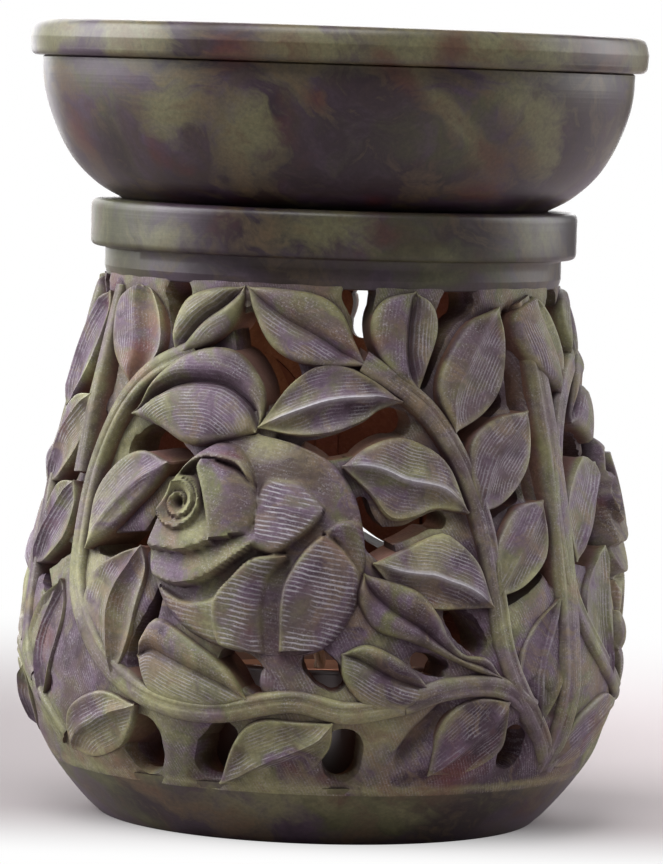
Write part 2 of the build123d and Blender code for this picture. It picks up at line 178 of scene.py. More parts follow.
# Leaves of a panel. Places are shares of the panel: across from -1 to 1, up from 0 at the ledge to 1 at
# the neck. Each leaf has its base, its tip, its left edge and its right edge, then how it was carved:
# where the rib lies across it, rib height, hollow of the left and right half (below zero is a swell),
# tilt to the right, and how strongly each half was hatched. Heights are in millimetres.
LEAVES = (
    ("top_left", (-0.88, 0.79), (-0.97, 0.99),
     ((-1.05, 0.86), (-1.11, 0.95)),
     ((-0.76, 0.86), (-0.79, 0.93), (-0.88, 0.98)),
     (0.15, 0.25, -0.45, 0.55, -0.1, 1.0, 0.2)),
    ("top_left_inner", (-0.66, 0.85), (-0.38, 1.00),
     ((-0.70, 0.91), (-0.66, 0.97), (-0.53, 0.995)),
     ((-0.52, 0.88), (-0.42, 0.92), (-0.38, 0.97)),
     (0.05, -0.75, -0.50, -0.45, 0.1, 1.0, 0.7)),
    ("top_middle", (0.15, 0.85), (-0.37, 1.00),
     ((-0.07, 0.85), (-0.23, 0.88), (-0.33, 0.95)),
     ((0.10, 0.90), (0.04, 0.96), (-0.06, 0.99), (-0.23, 1.00)),
     (-0.05, -0.60, -0.10, -0.60, 0.1, 1.0, 0.2)),
    ("top_right", (0.36, 0.80), (0.37, 1.00),
     ((0.27, 0.83), (0.19, 0.88), (0.17, 0.94), (0.23, 0.985)),
     ((0.40, 0.85), (0.46, 0.92), (0.45, 0.97)),
     (0.20, -0.85, -0.55, -0.35, 0.0, 0.3, 1.0)),
    ("right_first", (0.50, 0.72), (0.79, 0.97),
     ((0.44, 0.80), (0.49, 0.87), (0.62, 0.94)),
     ((0.65, 0.76), (0.76, 0.82), (0.81, 0.91)),
     (-0.35, 0.30, -0.20, 0.50, -0.1, 0.2, 1.0)),
    ("right_second", (0.58, 0.56), (0.87, 0.76),
     ((0.55, 0.64), (0.58, 0.71), (0.71, 0.75)),
     ((0.70, 0.58), (0.83, 0.64), (0.88, 0.71)),
     (-0.15, 0.30, 0.15, 0.35, -0.2, 0.9, 1.0)),
    ("right_third", (0.63, 0.39), (0.89, 0.58),
     ((0.63, 0.47), (0.67, 0.52), (0.76, 0.57)),
     ((0.76, 0.41), (0.88, 0.46), (0.91, 0.52)),
     (-0.10, 0.30, 0.20, 0.45, -0.2, 0.8, 1.0)),
    ("right_fourth", (0.83, 0.12), (0.93, 0.38),
     ((0.73, 0.19), (0.71, 0.26), (0.79, 0.33)),
     ((0.90, 0.18), (0.95, 0.25), (0.97, 0.32)),
     (0.0, 0.05, 0.80, 0.80, 0.0, 0.6, 0.9)),
    ("folded", (-0.83, 0.73), (-0.27, 0.71),
     ((-0.71, 0.82), (-0.55, 0.87), (-0.38, 0.87), (-0.26, 0.81), (-0.24, 0.75)),
     ((-0.68, 0.71), (-0.54, 0.68), (-0.40, 0.69)),
     (-0.30, -1.00, -0.45, -0.55, -0.1, 0.4, 1.0)),
    ("over_rose", (0.29, 0.78), (-0.26, 0.72),
     ((0.20, 0.765), (0.14, 0.742), (0.03, 0.717), (-0.10, 0.708)),
     ((0.19, 0.82), (0.07, 0.85), (-0.04, 0.85), (-0.15, 0.81), (-0.23, 0.75)),
     (-0.10, 0.50, 0.55, 0.45, -0.1, 0.8, 0.9)),
    ("rose_right_upper", (0.53, 0.56), (0.06, 0.65),
     ((0.41, 0.57), (0.31, 0.55), (0.23, 0.55), (0.16, 0.60)),
     ((0.47, 0.65), (0.39, 0.69), (0.27, 0.71), (0.15, 0.69)),
     (0.0, 0.45, 0.45, -0.15, 0.1, 0.6, 1.0)),
    ("rose_right_middle", (0.61, 0.37), (0.17, 0.46),
     ((0.49, 0.37), (0.37, 0.37), (0.26, 0.40)),
     ((0.56, 0.46), (0.47, 0.51), (0.41, 0.52), (0.28, 0.49)),
     (-0.15, 0.45, 0.45, -0.15, 0.1, 0.8, 1.0)),
    ("calyx", (0.63, 0.23), (0.14, 0.44),
     ((0.55, 0.24), (0.44, 0.27), (0.37, 0.29), (0.28, 0.31), (0.18, 0.33), (0.12, 0.39)),
     ((0.58, 0.27), (0.49, 0.28), (0.43, 0.32), (0.40, 0.36), (0.32, 0.41)),
     (-0.10, -0.40, -0.45, -0.45, 0.0, 0.25, 0.2)),
    ("rose_right_lower", (0.37, 0.21), (0.07, 0.28),
     ((0.29, 0.17), (0.22, 0.16), (0.14, 0.18), (0.08, 0.23)),
     ((0.31, 0.25), (0.24, 0.28), (0.15, 0.30)),
     (0.30, -0.50, -0.25, -0.40, 0.1, 1.0, 0.3)),
    ("left_upper", (-0.95, 0.45), (-0.61, 0.64),
     ((-0.96, 0.56), (-0.87, 0.63), (-0.75, 0.66)),
     ((-0.82, 0.50), (-0.73, 0.55), (-0.65, 0.60)),
     (0.40, 0.40, 0.25, -0.10, 0.1, 1.0, 0.7)),
    ("left_lower", (-0.73, 0.20), (-0.67, 0.47),
     ((-0.84, 0.26), (-0.92, 0.34), (-0.88, 0.41), (-0.77, 0.45)),
     ((-0.68, 0.28), (-0.66, 0.35), (-0.64, 0.42)),
     (0.15, 0.30, 0.35, 0.45, 0.0, 0.9, 0.3)),
    ("rose_left_lower", (-0.23, 0.18), (-0.63, 0.25),
     ((-0.34, 0.16), (-0.46, 0.16), (-0.58, 0.18)),
     ((-0.30, 0.24), (-0.42, 0.29), (-0.56, 0.33), (-0.61, 0.30)),
     (0.15, -0.35, -0.15, -0.50, 0.1, 1.0, 0.2)),
    ("bottom_right", (0.67, 0.18), (0.40, 0.03),
     ((0.68, 0.12), (0.67, 0.07), (0.55, 0.03)),
     ((0.55, 0.19), (0.46, 0.17), (0.41, 0.12)),
     (0.0, 0.35, 0.40, 0.25, 0.1, 0.9, 0.9)),
    ("bottom_middle", (0.05, 0.14), (-0.35, 0.00),
     ((0.04, 0.08), (-0.05, 0.02), (-0.19, 0.00)),
     ((-0.06, 0.14), (-0.19, 0.14), (-0.27, 0.10)),
     (-0.10, 0.35, 0.40, 0.15, 0.1, 0.9, 0.9)),
    ("bottom_left", (-0.64, 0.15), (-1.04, 0.03),
     ((-0.67, 0.10), (-0.75, 0.05), (-0.91, 0.02)),
     ((-0.79, 0.17), (-0.96, 0.13), (-1.03, 0.08)),
     (0.15, 0.20, 0.25, 0.10, 0.0, 0.8, 0.8)),
)

# Vines: width as a share of the usual one, then places along the middle of each stem.
STEMS = (
    ("low", 1.0, ((0.28, 0.18), (0.09, 0.16), (-0.09, 0.18), (-0.34, 0.15), (-0.55, 0.16), (-0.73, 0.21),
                  (-0.88, 0.29), (-0.98, 0.38), (-1.01, 0.50), (-1.00, 0.62), (-0.92, 0.74), (-0.78, 0.82),
                  (-0.57, 0.87))),
    ("rising", 1.0, ((0.93, 0.05), (0.74, 0.18), (0.66, 0.28), (0.63, 0.40), (0.60, 0.53), (0.53, 0.65),
                     (0.42, 0.75), (0.29, 0.81), (0.14, 0.86))),
    ("link", 1.0, ((0.28, 0.18), (0.44, 0.21), (0.63, 0.21), (0.78, 0.16))),
)
BORDERS = {
    "front": ("border", 1.4, ((0.96, 0.985), (0.99, 0.92), (1.00, 0.78), (1.00, 0.62), (0.99, 0.46),
                              (0.98, 0.31), (0.97, 0.17), (0.95, 0.02))),
    "right": ("border", 1.3, ((0.99, 0.985), (1.00, 0.78), (1.00, 0.46), (0.99, 0.02))),
    "left": ("border", 0.8, ((0.86, 0.985), (0.875, 0.85), (0.88, 0.72), (0.90, 0.60))),
}

# Plain stone left between leaves: across, up, radius in millimetres.
PADS = ((-0.12, 0.22, 3.0), (0.50, 0.22, 3.2), (-0.26, 0.72, 2.4), (0.17, 0.36, 4.0), (-0.37, 1.00, 2.4),
        (0.92, 0.03, 3.0), (0.80, 0.17, 2.4))

# Holes of a panel: drilled places across, up and radius in millimetres, filed together.
HOLES = (
    ((-0.73, 0.975, 2.4), (-0.735, 0.935, 1.5), (-0.70, 0.89, 1.0), (-0.68, 0.868, 0.9)),
    ((-0.36, 0.92, 2.2), (-0.31, 0.88, 2.8), (-0.22, 0.84, 3.0), (-0.18, 0.80, 2.6)),
    ((-0.83, 0.665, 1.8), (-0.74, 0.675, 2.9), (-0.64, 0.655, 2.6), (-0.58, 0.645, 1.8)),
    ((-0.89, 0.465, 1.4), (-0.80, 0.465, 1.8), (-0.70, 0.475, 1.8), (-0.66, 0.50, 1.2), (-0.64, 0.54, 0.8)),
    ((-0.58, 0.385, 0.6), (-0.60, 0.34, 1.0), (-0.64, 0.28, 1.3), (-0.655, 0.24, 1.4), (-0.645, 0.20, 1.3)),
    ((-0.295, 0.258, 1.7), (-0.24, 0.235, 2.1), (-0.195, 0.215, 1.7)),
    ((-0.01, 0.26, 1.9), (0.025, 0.24, 2.0), (0.05, 0.228, 1.7)),
    ((0.335, 0.266, 1.2), (0.37, 0.26, 1.45), (0.41, 0.252, 1.2)),
    ((0.47, 0.355, 1.7), (0.505, 0.33, 2.1), (0.55, 0.30, 1.6)),
    ((0.81, 0.185, 1.8), (0.84, 0.17, 1.8)),
    ((-0.075, 0.687, 1.0), (0.0, 0.688, 1.5), (0.10, 0.703, 1.7), (0.17, 0.73, 1.9), (0.24, 0.742, 2.1),
     (0.29, 0.742, 1.7)),
    ((0.135, 0.58, 1.0), (0.155, 0.545, 1.2), (0.195, 0.505, 1.9), (0.215, 0.49, 1.6)),
    ((0.22, 0.515, 1.3), (0.30, 0.525, 0.9), (0.38, 0.545, 0.9), (0.43, 0.55, 1.2)),
    ((0.12, 0.99, 2.3), (0.135, 0.95, 1.3), (0.14, 0.90, 1.1), (0.15, 0.885, 1.2)),
    ((0.60, 0.985, 2.2), (0.55, 0.97, 2.2), (0.49, 0.92, 1.1), (0.43, 0.86, 0.9), (0.39, 0.825, 0.9)),
    ((0.56, 0.72, 0.9), (0.66, 0.755, 0.9), (0.76, 0.79, 1.2)),
    ((0.64, 0.558, 0.8), (0.71, 0.578, 0.9), (0.78, 0.598, 1.2)),
    ((0.69, 0.388, 1.0), (0.78, 0.412, 1.1), (0.87, 0.44, 1.0)),
)

# Holes that only the front or only the side panels have.
FRONT_HOLES = (
    ((-0.645, 0.08, 3.0), (-0.65, 0.05, 3.2)),
    ((-0.325, 0.10, 2.0), (-0.35, 0.065, 2.9), (-0.375, 0.04, 2.4)),
    ((0.09, 0.085, 2.6), (0.088, 0.05, 2.5)),
    ((0.735, 0.095, 2.0), (0.735, 0.065, 2.2)),
    ((0.875, 0.955, 1.0), (0.885, 0.90, 1.1)),
    ((0.875, 0.82, 1.3), (0.885, 0.72, 1.4)),
)
SIDE_HOLES = (
    ((0.75, 0.37, 1.4), (0.80, 0.35, 1.2)),
    ((-0.645, 0.11, 2.4), (-0.65, 0.10, 2.4)),
    ((-0.325, 0.13, 1.7), (-0.35, 0.115, 2.1), (-0.36, 0.105, 1.9)),
    ((0.09, 0.12, 2.0), (0.088, 0.11, 2.0)),
    ((0.735, 0.12, 1.6), (0.735, 0.11, 1.6)),
    ((0.85, 0.95, 1.7), (0.85, 0.89, 1.7)),
)

# Hollows gouged into the stone between the leaves but not through it, written like the holes.
GOUGES = (
    ((0.42, 0.165, 1.2), (0.36, 0.11, 2.0), (0.32, 0.08, 1.7)),
    ((0.88, 0.88, 1.6), (0.88, 0.80, 2.2)),
    ((0.90, 0.68, 2.2), (0.90, 0.60, 2.0)),
    ((0.93, 0.50, 1.6), (0.93, 0.44, 1.6)),
)

# Rose: the edge of its boss, then its petals from the lowest to the topmost. Each petal has two edges,
# their heights above the boss in millimetres, a swell between them and how strongly it was hatched.
ROSE_PLACE = (-0.22, 0.49)
BOSS_EDGES = (
    ((-0.26, 0.71), (-0.42, 0.69), (-0.54, 0.64), (-0.60, 0.58), (-0.64, 0.51), (-0.64, 0.44),
     (-0.56, 0.36), (-0.46, 0.31), (-0.31, 0.28), (-0.11, 0.27)),
    ((-0.26, 0.71), (-0.10, 0.69), (0.04, 0.65), (0.12, 0.58), (0.15, 0.47), (0.13, 0.38),
     (0.06, 0.31), (-0.02, 0.28), (-0.11, 0.27)),
)
PETALS = (
    ("lower_left",
     ((-0.55, 0.39), (-0.47, 0.37), (-0.41, 0.37), (-0.35, 0.38)),
     ((-0.60, 0.40), (-0.55, 0.34), (-0.46, 0.29), (-0.32, 0.27)),
     (0.80, 0.10, 0.20, 0.4)),
    ("right",
     ((0.00, 0.52), (0.06, 0.54), (0.15, 0.54)),
     ((0.04, 0.48), (0.09, 0.46), (0.16, 0.43)),
     (1.30, 0.30, 0.10, 0.2)),
    ("hatched",
     ((-0.24, 0.58), (-0.22, 0.61), (-0.18, 0.62), (-0.08, 0.61), (0.00, 0.57)),
     ((-0.23, 0.48), (-0.16, 0.47), (-0.11, 0.49), (-0.05, 0.52), (-0.01, 0.55)),
     (0.30, 1.30, 0.15, 1.0)),
    ("lower_right",
     ((-0.13, 0.28), (-0.13, 0.38), (-0.11, 0.43), (-0.06, 0.48), (-0.01, 0.51)),
     ((0.07, 0.29), (0.12, 0.36), (0.13, 0.43), (0.08, 0.48), (0.03, 0.51)),
     (1.50, 0.50, 0.30, 0.9)),
    ("lower_middle",
     ((-0.32, 0.27), (-0.35, 0.33), (-0.35, 0.38), (-0.30, 0.42), (-0.23, 0.46), (-0.12, 0.47)),
     ((-0.18, 0.27), (-0.19, 0.36), (-0.18, 0.41), (-0.15, 0.44), (-0.11, 0.46)),
     (1.55, 0.25, 0.30, 0.8)),
    ("smile",
     ((-0.67, 0.50), (-0.57, 0.50), (-0.47, 0.50), (-0.38, 0.52), (-0.29, 0.53), (-0.23, 0.53)),
     ((-0.66, 0.43), (-0.55, 0.405), (-0.46, 0.40), (-0.37, 0.42), (-0.28, 0.46), (-0.22, 0.49)),
     (0.50, 1.75, -0.30, 0.1)),
    ("top_wrap",
     ((-0.62, 0.57), (-0.57, 0.64), (-0.48, 0.68), (-0.40, 0.69), (-0.32, 0.68), (-0.26, 0.64),
      (-0.24, 0.60)),
     ((-0.55, 0.60), (-0.51, 0.63), (-0.45, 0.65), (-0.38, 0.65), (-0.31, 0.64), (-0.27, 0.61),
      (-0.25, 0.59)),
     (0.10, 1.60, 0.25, 0.1)),
    ("under_bud",
     ((-0.67, 0.57), (-0.58, 0.58), (-0.48, 0.57), (-0.36, 0.56)),
     ((-0.66, 0.47), (-0.55, 0.465), (-0.47, 0.465), (-0.37, 0.485)),
     (0.50, 2.10, -0.10, 0.1)),
    ("bud_side",
     ((-0.38, 0.49), (-0.40, 0.54), (-0.43, 0.59), (-0.46, 0.63), (-0.45, 0.65)),
     ((-0.24, 0.51), (-0.23, 0.56), (-0.25, 0.60), (-0.30, 0.63), (-0.39, 0.65)),
     (1.90, 0.70, 0.45, 0.1)),
)
BUD_PLACE = (-0.515, 0.562)

# Stains in the stone: angle from the front and height in millimetres, then how far each reaches either
# way in degrees and millimetres, and its lean in degrees for each millimetre of height.
PLUM_STAINS = (
    (3, 90, 15, 9, 0.6), (58, 90, 9, 6, 0.0), (-52, 86, 9, 5, 0.4), (12, 83, 24, 2.5, 0.0),
    (-25, 97, 9, 2, 0.0), (35, 99, 8, 1.5, 0.0), (150, 90, 25, 8, 0.5), (-140, 92, 20, 6, 0.5),
    (-100, 88, 9, 9, 0.3), (-18, 76, 12, 2, 0.0), (33, 76, 10, 3, 0.0), (140, 76, 30, 4, 0.0),
    (30, 31, 7, 5, 0.5), (44, 12, 8, 7, 0.8), (14, 23, 6, 4, 0.4), (-8, 31, 5, 5, 0.0),
    (40, 57, 6, 5, 0.0), (-60, 50, 6, 8, 0.2), (-20, 60, 7, 4, 0.3), (36, 3, 16, 5, 0.7),
    (-42, 4, 12, 3, 0.0), (170, 30, 15, 15, 0.4), (-130, 20, 12, 14, 0.4), (110, 45, 9, 12, 0.5),
)
CREAM_STAINS = (
    (-16, 89, 7, 5, 0.5), (25, 90, 3, 7, -1.8), (40, 93, 7, 4, -1.5), (47, 88, 5, 4, -1.2),
    (-34, 91, 6, 4, 0.6), (-66, 99.5, 15, 2.8, 0.0), (-40, 99.5, 9, 2.6, 0.0), (-3, 99.5, 10, 2.8, 0.0),
    (14, 99.5, 6, 2.6, 0.0), (28, 100, 7, 2.4, 0.0), (41, 99.5, 6, 2.8, 0.0), (70, 99, 10, 2.6, 0.0),
    (110, 99.5, 20, 2.4, 0.0), (-130, 99.5, 22, 2.0, 0.0), (170, 99.5, 12, 2.0, 0.0),
    (100, 90, 20, 6, 0.7), (-165, 86, 18, 5, 0.7), (0, 77, 11, 3, 0.0), (55, 77, 8, 3, 0.0),
    (-45, 75, 10, 2, 0.0), (-30, 18, 10, 4, 0.3), (8, 16, 10, 4, 0.4), (-52, 34, 5, 10, 0.2),
    (22, 40, 5, 5, 0.6), (-12, 52, 6, 4, 0.4), (-8, 6, 14, 3, 0.0), (0, 7.7, 70, 0.6, 0.0),
    (90, 30, 10, 8, 0.3), (-150, 50, 12, 9, 0.4), (150, 55, 10, 10, 0.4),
)
RUST_STAINS = (
    (-20, 98.5, 4, 2.5, 0.0), (11, 96.5, 3, 3.0, -1.5), (-4, 93, 1.5, 1.2, 0.0), (35, 82, 6, 1.2, 0.0),
    (20, 99.5, 3, 2.0, 0.5), (60, 99.5, 6, 2.0, 0.0), (33, 86, 3, 3, -1.5), (-64, 88, 5, 3, 0.0),
    (130, 98, 8, 2, 0.0), (-150, 90, 6, 4, 0.5), (50, 15, 4, 3, 0.5), (28, 10, 4, 3, 0.4),
    (-48, 60, 3, 4, 0.3), (8, 63, 4, 2, 0.0),
)


def clear_selection():
    """Leaves object mode with nothing selected."""
    if bpy.context.mode != "OBJECT":
        bpy.ops.object.mode_set(mode="OBJECT")
    bpy.ops.object.select_all(action="DESELECT")


def take_up(piece):
    """Makes one piece the only selected and active object."""
    clear_selection()
    piece.select_set(True)
    bpy.context.view_layer.objects.active = piece


def close_up(piece, angle):
    """Merges doubled corners, turns faces outwards and smooths across gentle edges."""
    take_up(piece)
    bpy.ops.object.mode_set(mode="EDIT")
    bpy.ops.mesh.select_all(action="SELECT")
    bpy.ops.mesh.remove_doubles(threshold=0.000002)
    bpy.ops.mesh.normals_make_consistent(inside=False)
    bpy.ops.object.mode_set(mode="OBJECT")
    bpy.ops.object.shade_smooth_by_angle(angle=math.radians(angle))


def set_down(piece, material, body, slot, *nodes):
    """Gives a finished piece its material, its body and the CAD nodes it stands for."""
    if slot in ("body_stone", "dish_stone"):
        stain(piece)
    piece.data.materials.clear()
    piece.data.materials.append(material)
    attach(piece, body)
    if nodes:
        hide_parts(*nodes)


def join_as(name, pieces):
    """Joins pieces of one group into one object."""
    clear_selection()
    for piece in pieces:
        piece.select_set(True)
    bpy.context.view_layer.objects.active = pieces[0]
    bpy.ops.object.join()
    pieces[0].name = name
    pieces[0].data.name = name
    return pieces[0]


# Turned work

def outline(*corners):
    """Turned outline through corners of radius, height and rounding, cut fine enough to hold its stains."""
    places = [np.array(corner[:2]) for corner in corners]
    line = [places[0]]
    for place, (before, corner, after) in enumerate(zip(places, places[1:], places[2:]), start=1):
        rounding = corners[place][2] if len(corners[place]) > 2 else 0
        if not rounding:
            line.append(corner)
            continue
        back, on = before - corner, after - corner
        back, on = back / np.linalg.norm(back), on / np.linalg.norm(on)
        half = math.acos(max(-1, min(1, float(back @ on)))) / 2
        start, end = (corner + way * rounding / math.tan(half) for way in (back, on))
        for share in np.linspace(0, 1, 7):
            line.append((1 - share) ** 2 * start + 2 * share * (1 - share) * corner + share ** 2 * end)
    line.append(places[-1])
    fine = [line[0]]
    for a, b in zip(line, line[1:]):
        cuts = max(1, math.ceil(np.linalg.norm(b - a) / (1.5 * MM)))
        fine.extend(a + (b - a) * cut / cuts for cut in range(1, cuts + 1))
    return fine


def turn_piece(name, line, sides, ring):
    """Piece made on the lathe: one circle is extruded and resized from place to place along the outline."""
    clear_selection()
    if not ring:
        line = line[1:]
    radius, height = line[0]
    bpy.ops.mesh.primitive_circle_add(vertices=sides, radius=radius, location=(0, 0, height),
                                      fill_type="NOTHING" if ring else "TRIFAN")
    piece = bpy.context.object
    piece.name = name
    piece.data.name = name
    bpy.ops.object.transform_apply(location=True, rotation=True, scale=True)
    for face in piece.data.polygons:
        face.select = False
    for corner in piece.data.vertices:
        corner.select = bool(math.hypot(corner.co.x, corner.co.y) > radius / 2)
    for edge in piece.data.edges:
        edge.select = all(piece.data.vertices[place].select for place in edge.vertices)
    bpy.ops.object.mode_set(mode="EDIT")
    bpy.ops.mesh.select_mode(type="EDGE")
    for wide, high in line[1:]:
        bpy.ops.mesh.extrude_region_move(TRANSFORM_OT_translate={"value": (0, 0, high - height)})
        if wide > 0:
            bpy.ops.transform.resize(value=(wide / radius, wide / radius, 1), center_override=(0, 0, high))
        else:
            bpy.ops.mesh.merge(type="CENTER")
        radius, height = wide, high
    bpy.ops.object.mode_set(mode="OBJECT")
    return piece


def places_of(piece):
    """Corner places of a piece as an array."""
    places = np.empty(len(piece.data.vertices) * 3)
    piece.data.vertices.foreach_get("co", places)
    return places.reshape(-1, 3)


def mark(mesh, name, values):
    """Keeps one number per corner for the material to read."""
    kept = mesh.attributes.get(name) or mesh.attributes.new(name, "FLOAT", "POINT")
    kept.data.foreach_set("value", np.ascontiguousarray(values, dtype=np.float32))


def stain(piece):
    """Marks where a piece of stone is plum, cream or rust, from its place in the block."""
    places = places_of(piece)
    angle = np.degrees(np.arctan2(places[:, 0], -places[:, 1]))
    high = places[:, 2] / MM
    for title, rows in (("plum", PLUM_STAINS), ("cream", CREAM_STAINS), ("rust", RUST_STAINS)):
        cover = np.zeros(len(places))
        for middle, height, wide, tall, lean in rows:
            aside = np.mod(angle - middle - lean * (high - height) + 180, 360) - 180
            cover += np.exp(-(aside / wide) ** 2 - ((high - height) / tall) ** 2)
        mark(piece.data, title, np.minimum(cover, 1))


def wobble(piece, depth):
    """Takes a turned piece slightly out of true, inwards only, as hand turning leaves it."""
    places = places_of(piece)
    angle = np.arctan2(places[:, 0], -places[:, 1])
    high = places[:, 2] / MM
    wave = 0.5 + 0.25 * np.sin(2 * angle + 0.21 * high) + 0.25 * np.sin(5 * angle - 0.33 * high + 1.3)
    reach = np.hypot(places[:, 0], places[:, 1])
    scale = 1 - depth * wave / np.maximum(reach, 10 * MM)
    places[:, :2] *= scale[:, None]
    piece.data.vertices.foreach_set("co", places.ravel())


# Carved work

def wall_radius(z):
    """Outer radius of the turned body at a height."""
    wall = burner().wall
    rise = np.clip((z - wall.belly_height) / (wall.neck_height - wall.belly_height), 0, None)
    drop = np.clip((wall.belly_height - z) / wall.belly_height, 0, None)
    return (wall.belly_radius - (wall.belly_radius - wall.neck_radius) * rise ** 1.35
            - (wall.belly_radius - wall.foot_radius) * drop ** 2)


def chamber_radius(z):
    """Radius of the hollow at a height."""
    wall = burner().wall
    return np.interp(z, (wall.ledge_height, wall.belly_height, wall.neck_height),
                     (wall.chamber_ledge, wall.chamber_belly, wall.mouth_radius))


def on_wall(angle, z, height):
    """Places standing a height above the turned wall. Crests ease off before they pass the dish's rim."""
    step = 0.2 * MM
    knee = 0.4 * MM
    brim = DISH_HIGH.x - 0.05 * MM - knee
    radius = wall_radius(z)
    slope = (wall_radius(z + step) - wall_radius(z - step)) / (2 * step)
    lean = 1 / np.sqrt(1 + slope ** 2)
    reach = radius + height * lean
    reach = np.where(reach > brim, brim + knee * np.tanh((reach - brim) / knee), reach)
    return np.stack((reach * np.sin(angle), -reach * np.cos(angle), z - height * lean * slope), axis=-1)


def in_chamber(angle, z, inset):
    """Places on the hollow's wall, set back a little."""
    reach = chamber_radius(z) + inset
    return np.stack((reach * np.sin(angle), -reach * np.cos(angle), z), axis=-1)


def flowing(points, stations):
    """Smooth line through given points, read at shares of its length."""
    p = np.asarray(points, float)
    p = np.vstack((2 * p[0] - p[1], p, 2 * p[-1] - p[-2]))
    u = np.linspace(0, 1, 12, endpoint=False)[:, None]
    runs = [0.5 * (2 * b + (c - a) * u + (2 * a - 5 * b + 4 * c - d) * u ** 2
                   + (3 * b - a - 3 * c + d) * u ** 3)
            for a, b, c, d in zip(p, p[1:], p[2:], p[3:])]
    line = np.vstack((*runs, p[-2:-1]))
    gone = np.append(0, np.cumsum(np.linalg.norm(np.diff(line, axis=0), axis=1)))
    return np.column_stack([np.interp(stations * gone[-1], gone, line[:, k]) for k in (0, 1)])


def carving_blank(name, along, across):
    """Oblong block that every leaf, vine and petal is cut from, with stations along and across it."""
    clear_selection()
    bpy.ops.mesh.primitive_grid_add(x_subdivisions=along, y_subdivisions=across, size=2)
    blank = bpy.context.object
    blank.name = name
    bpy.ops.object.mode_set(mode="EDIT")
    bpy.ops.mesh.select_all(action="SELECT")
    for _ in ("shoulder", "top"):
        bpy.ops.mesh.extrude_region_move(TRANSFORM_OT_translate={"value": (0, 0, 1)})
    bpy.ops.mesh.select_all(action="SELECT")
    bpy.ops.mesh.normals_make_consistent(inside=False)
    bpy.ops.object.mode_set(mode="OBJECT")
    return blank


def seats_of(blank):
    """Station along, station across and layer of each corner of a blank, and how many there are."""
    places = places_of(blank)
    counts = [len(np.unique(np.round(places[:, axis], 4))) for axis in range(3)]
    low, high = places.min(0), places.max(0)
    seats = np.rint((places - low) / (high - low) * (np.array(counts) - 1)).astype(int)
    return seats, counts


def cut_from(blank, name, top, shoulder, back, marks):
    """Copy of a blank with its corners moved to the carved places."""
    seats, _ = seats_of(blank)
    i, j, layer = seats.T
    mesh = blank.data.copy()
    mesh.name = name
    places = np.stack((back, shoulder, top))[layer, i, j]
    mesh.vertices.foreach_set("co", places.ravel())
    on_top = layer == layer.max()
    for title, values in marks.items():
        values = np.broadcast_to(values, top.shape[:2])[i, j]
        mark(mesh, title, values if title == "across" else np.where(on_top, values, 0))
    mark(mesh, "cut", np.where(on_top, 0, 1))
    piece = bpy.data.objects.new(name, mesh)
    bpy.context.collection.objects.link(piece)
    return piece


def cut_through(blank, title, flat, girth, panel, height, inset, marks):
    """Cuts one piece of the wall: its carved top, a shoulder under it and its back in the chamber."""
    name, middle, _ = panel
    angle = flat[..., 0] / girth + math.radians(middle)
    z = flat[..., 1]
    top, shoulder = (on_wall(angle, z, height - depth) for depth in (0, SHOULDER))
    return cut_from(blank, f"{title}_{name}", top, shoulder, in_chamber(angle, z, inset), marks)


def spread_across(count, rib):
    """Stations across a strip from -1 to 1, close together at its edges and at its rib."""
    even = np.linspace(-1, 1, count)
    bunched = np.sign(even) * (0.5 * np.abs(even) + 0.5 * np.sin(np.abs(even) * math.pi / 2) ** 1.1)
    return np.where(bunched < 0, rib + bunched * (1 + rib), rib + bunched * (1 - rib))


def stations_along(count):
    """Stations along a strip from 0 to 1, closer together at its ends."""
    even = np.linspace(0, 1, count)
    return 0.45 * even + 0.55 * (0.5 - 0.5 * np.cos(math.pi * even))


def aside_of(line):
    """Unit steps to the right of a flat line, one for each of its stations."""
    way = np.gradient(line, axis=0)
    way /= np.maximum(np.linalg.norm(way, axis=1), 1e-12)[:, None]
    return np.column_stack((way[:, 1], -way[:, 0]))


def strip(left, right, spread):
    """Flat places across a strip between its two edges, and half its width along it."""
    middle, half = (left + right) / 2, (right - left) / 2
    width = np.linalg.norm(half, axis=1)
    blunt = 0.14 * MM
    half = np.where((width < blunt)[:, None], aside_of(middle) * blunt, half)
    return middle[:, None, :] + spread[None, :, None] * half[:, None, :], np.maximum(width, blunt)[:, None]


def flat_places(points, half_angle, girth):
    """Panel shares as flat lengths along and up the wall at one girth."""
    wall = burner().wall
    points = np.asarray(points, float)
    return np.column_stack((points[:, 0] * math.radians(half_angle) * girth,
                            wall.ledge_height + points[:, 1] * (wall.neck_height - wall.ledge_height)))


def girth_of(points):
    """Outer radius at the middle height of some panel shares."""
    wall = burner().wall
    up = np.mean([point[1] for point in points])
    return float(wall_radius(wall.ledge_height + up * (wall.neck_height - wall.ledge_height)))


def rounded_edge(spread, width, rounding):
    """How far a strip's top drops towards its two edges, and how near to an edge it is."""
    inside = (1 - np.abs(spread))[None, :] * width
    rounding = np.minimum(rounding, width)
    short = np.clip(rounding - inside, 0, None)
    return rounding - np.sqrt(np.maximum(rounding ** 2 - short ** 2, 0)), inside


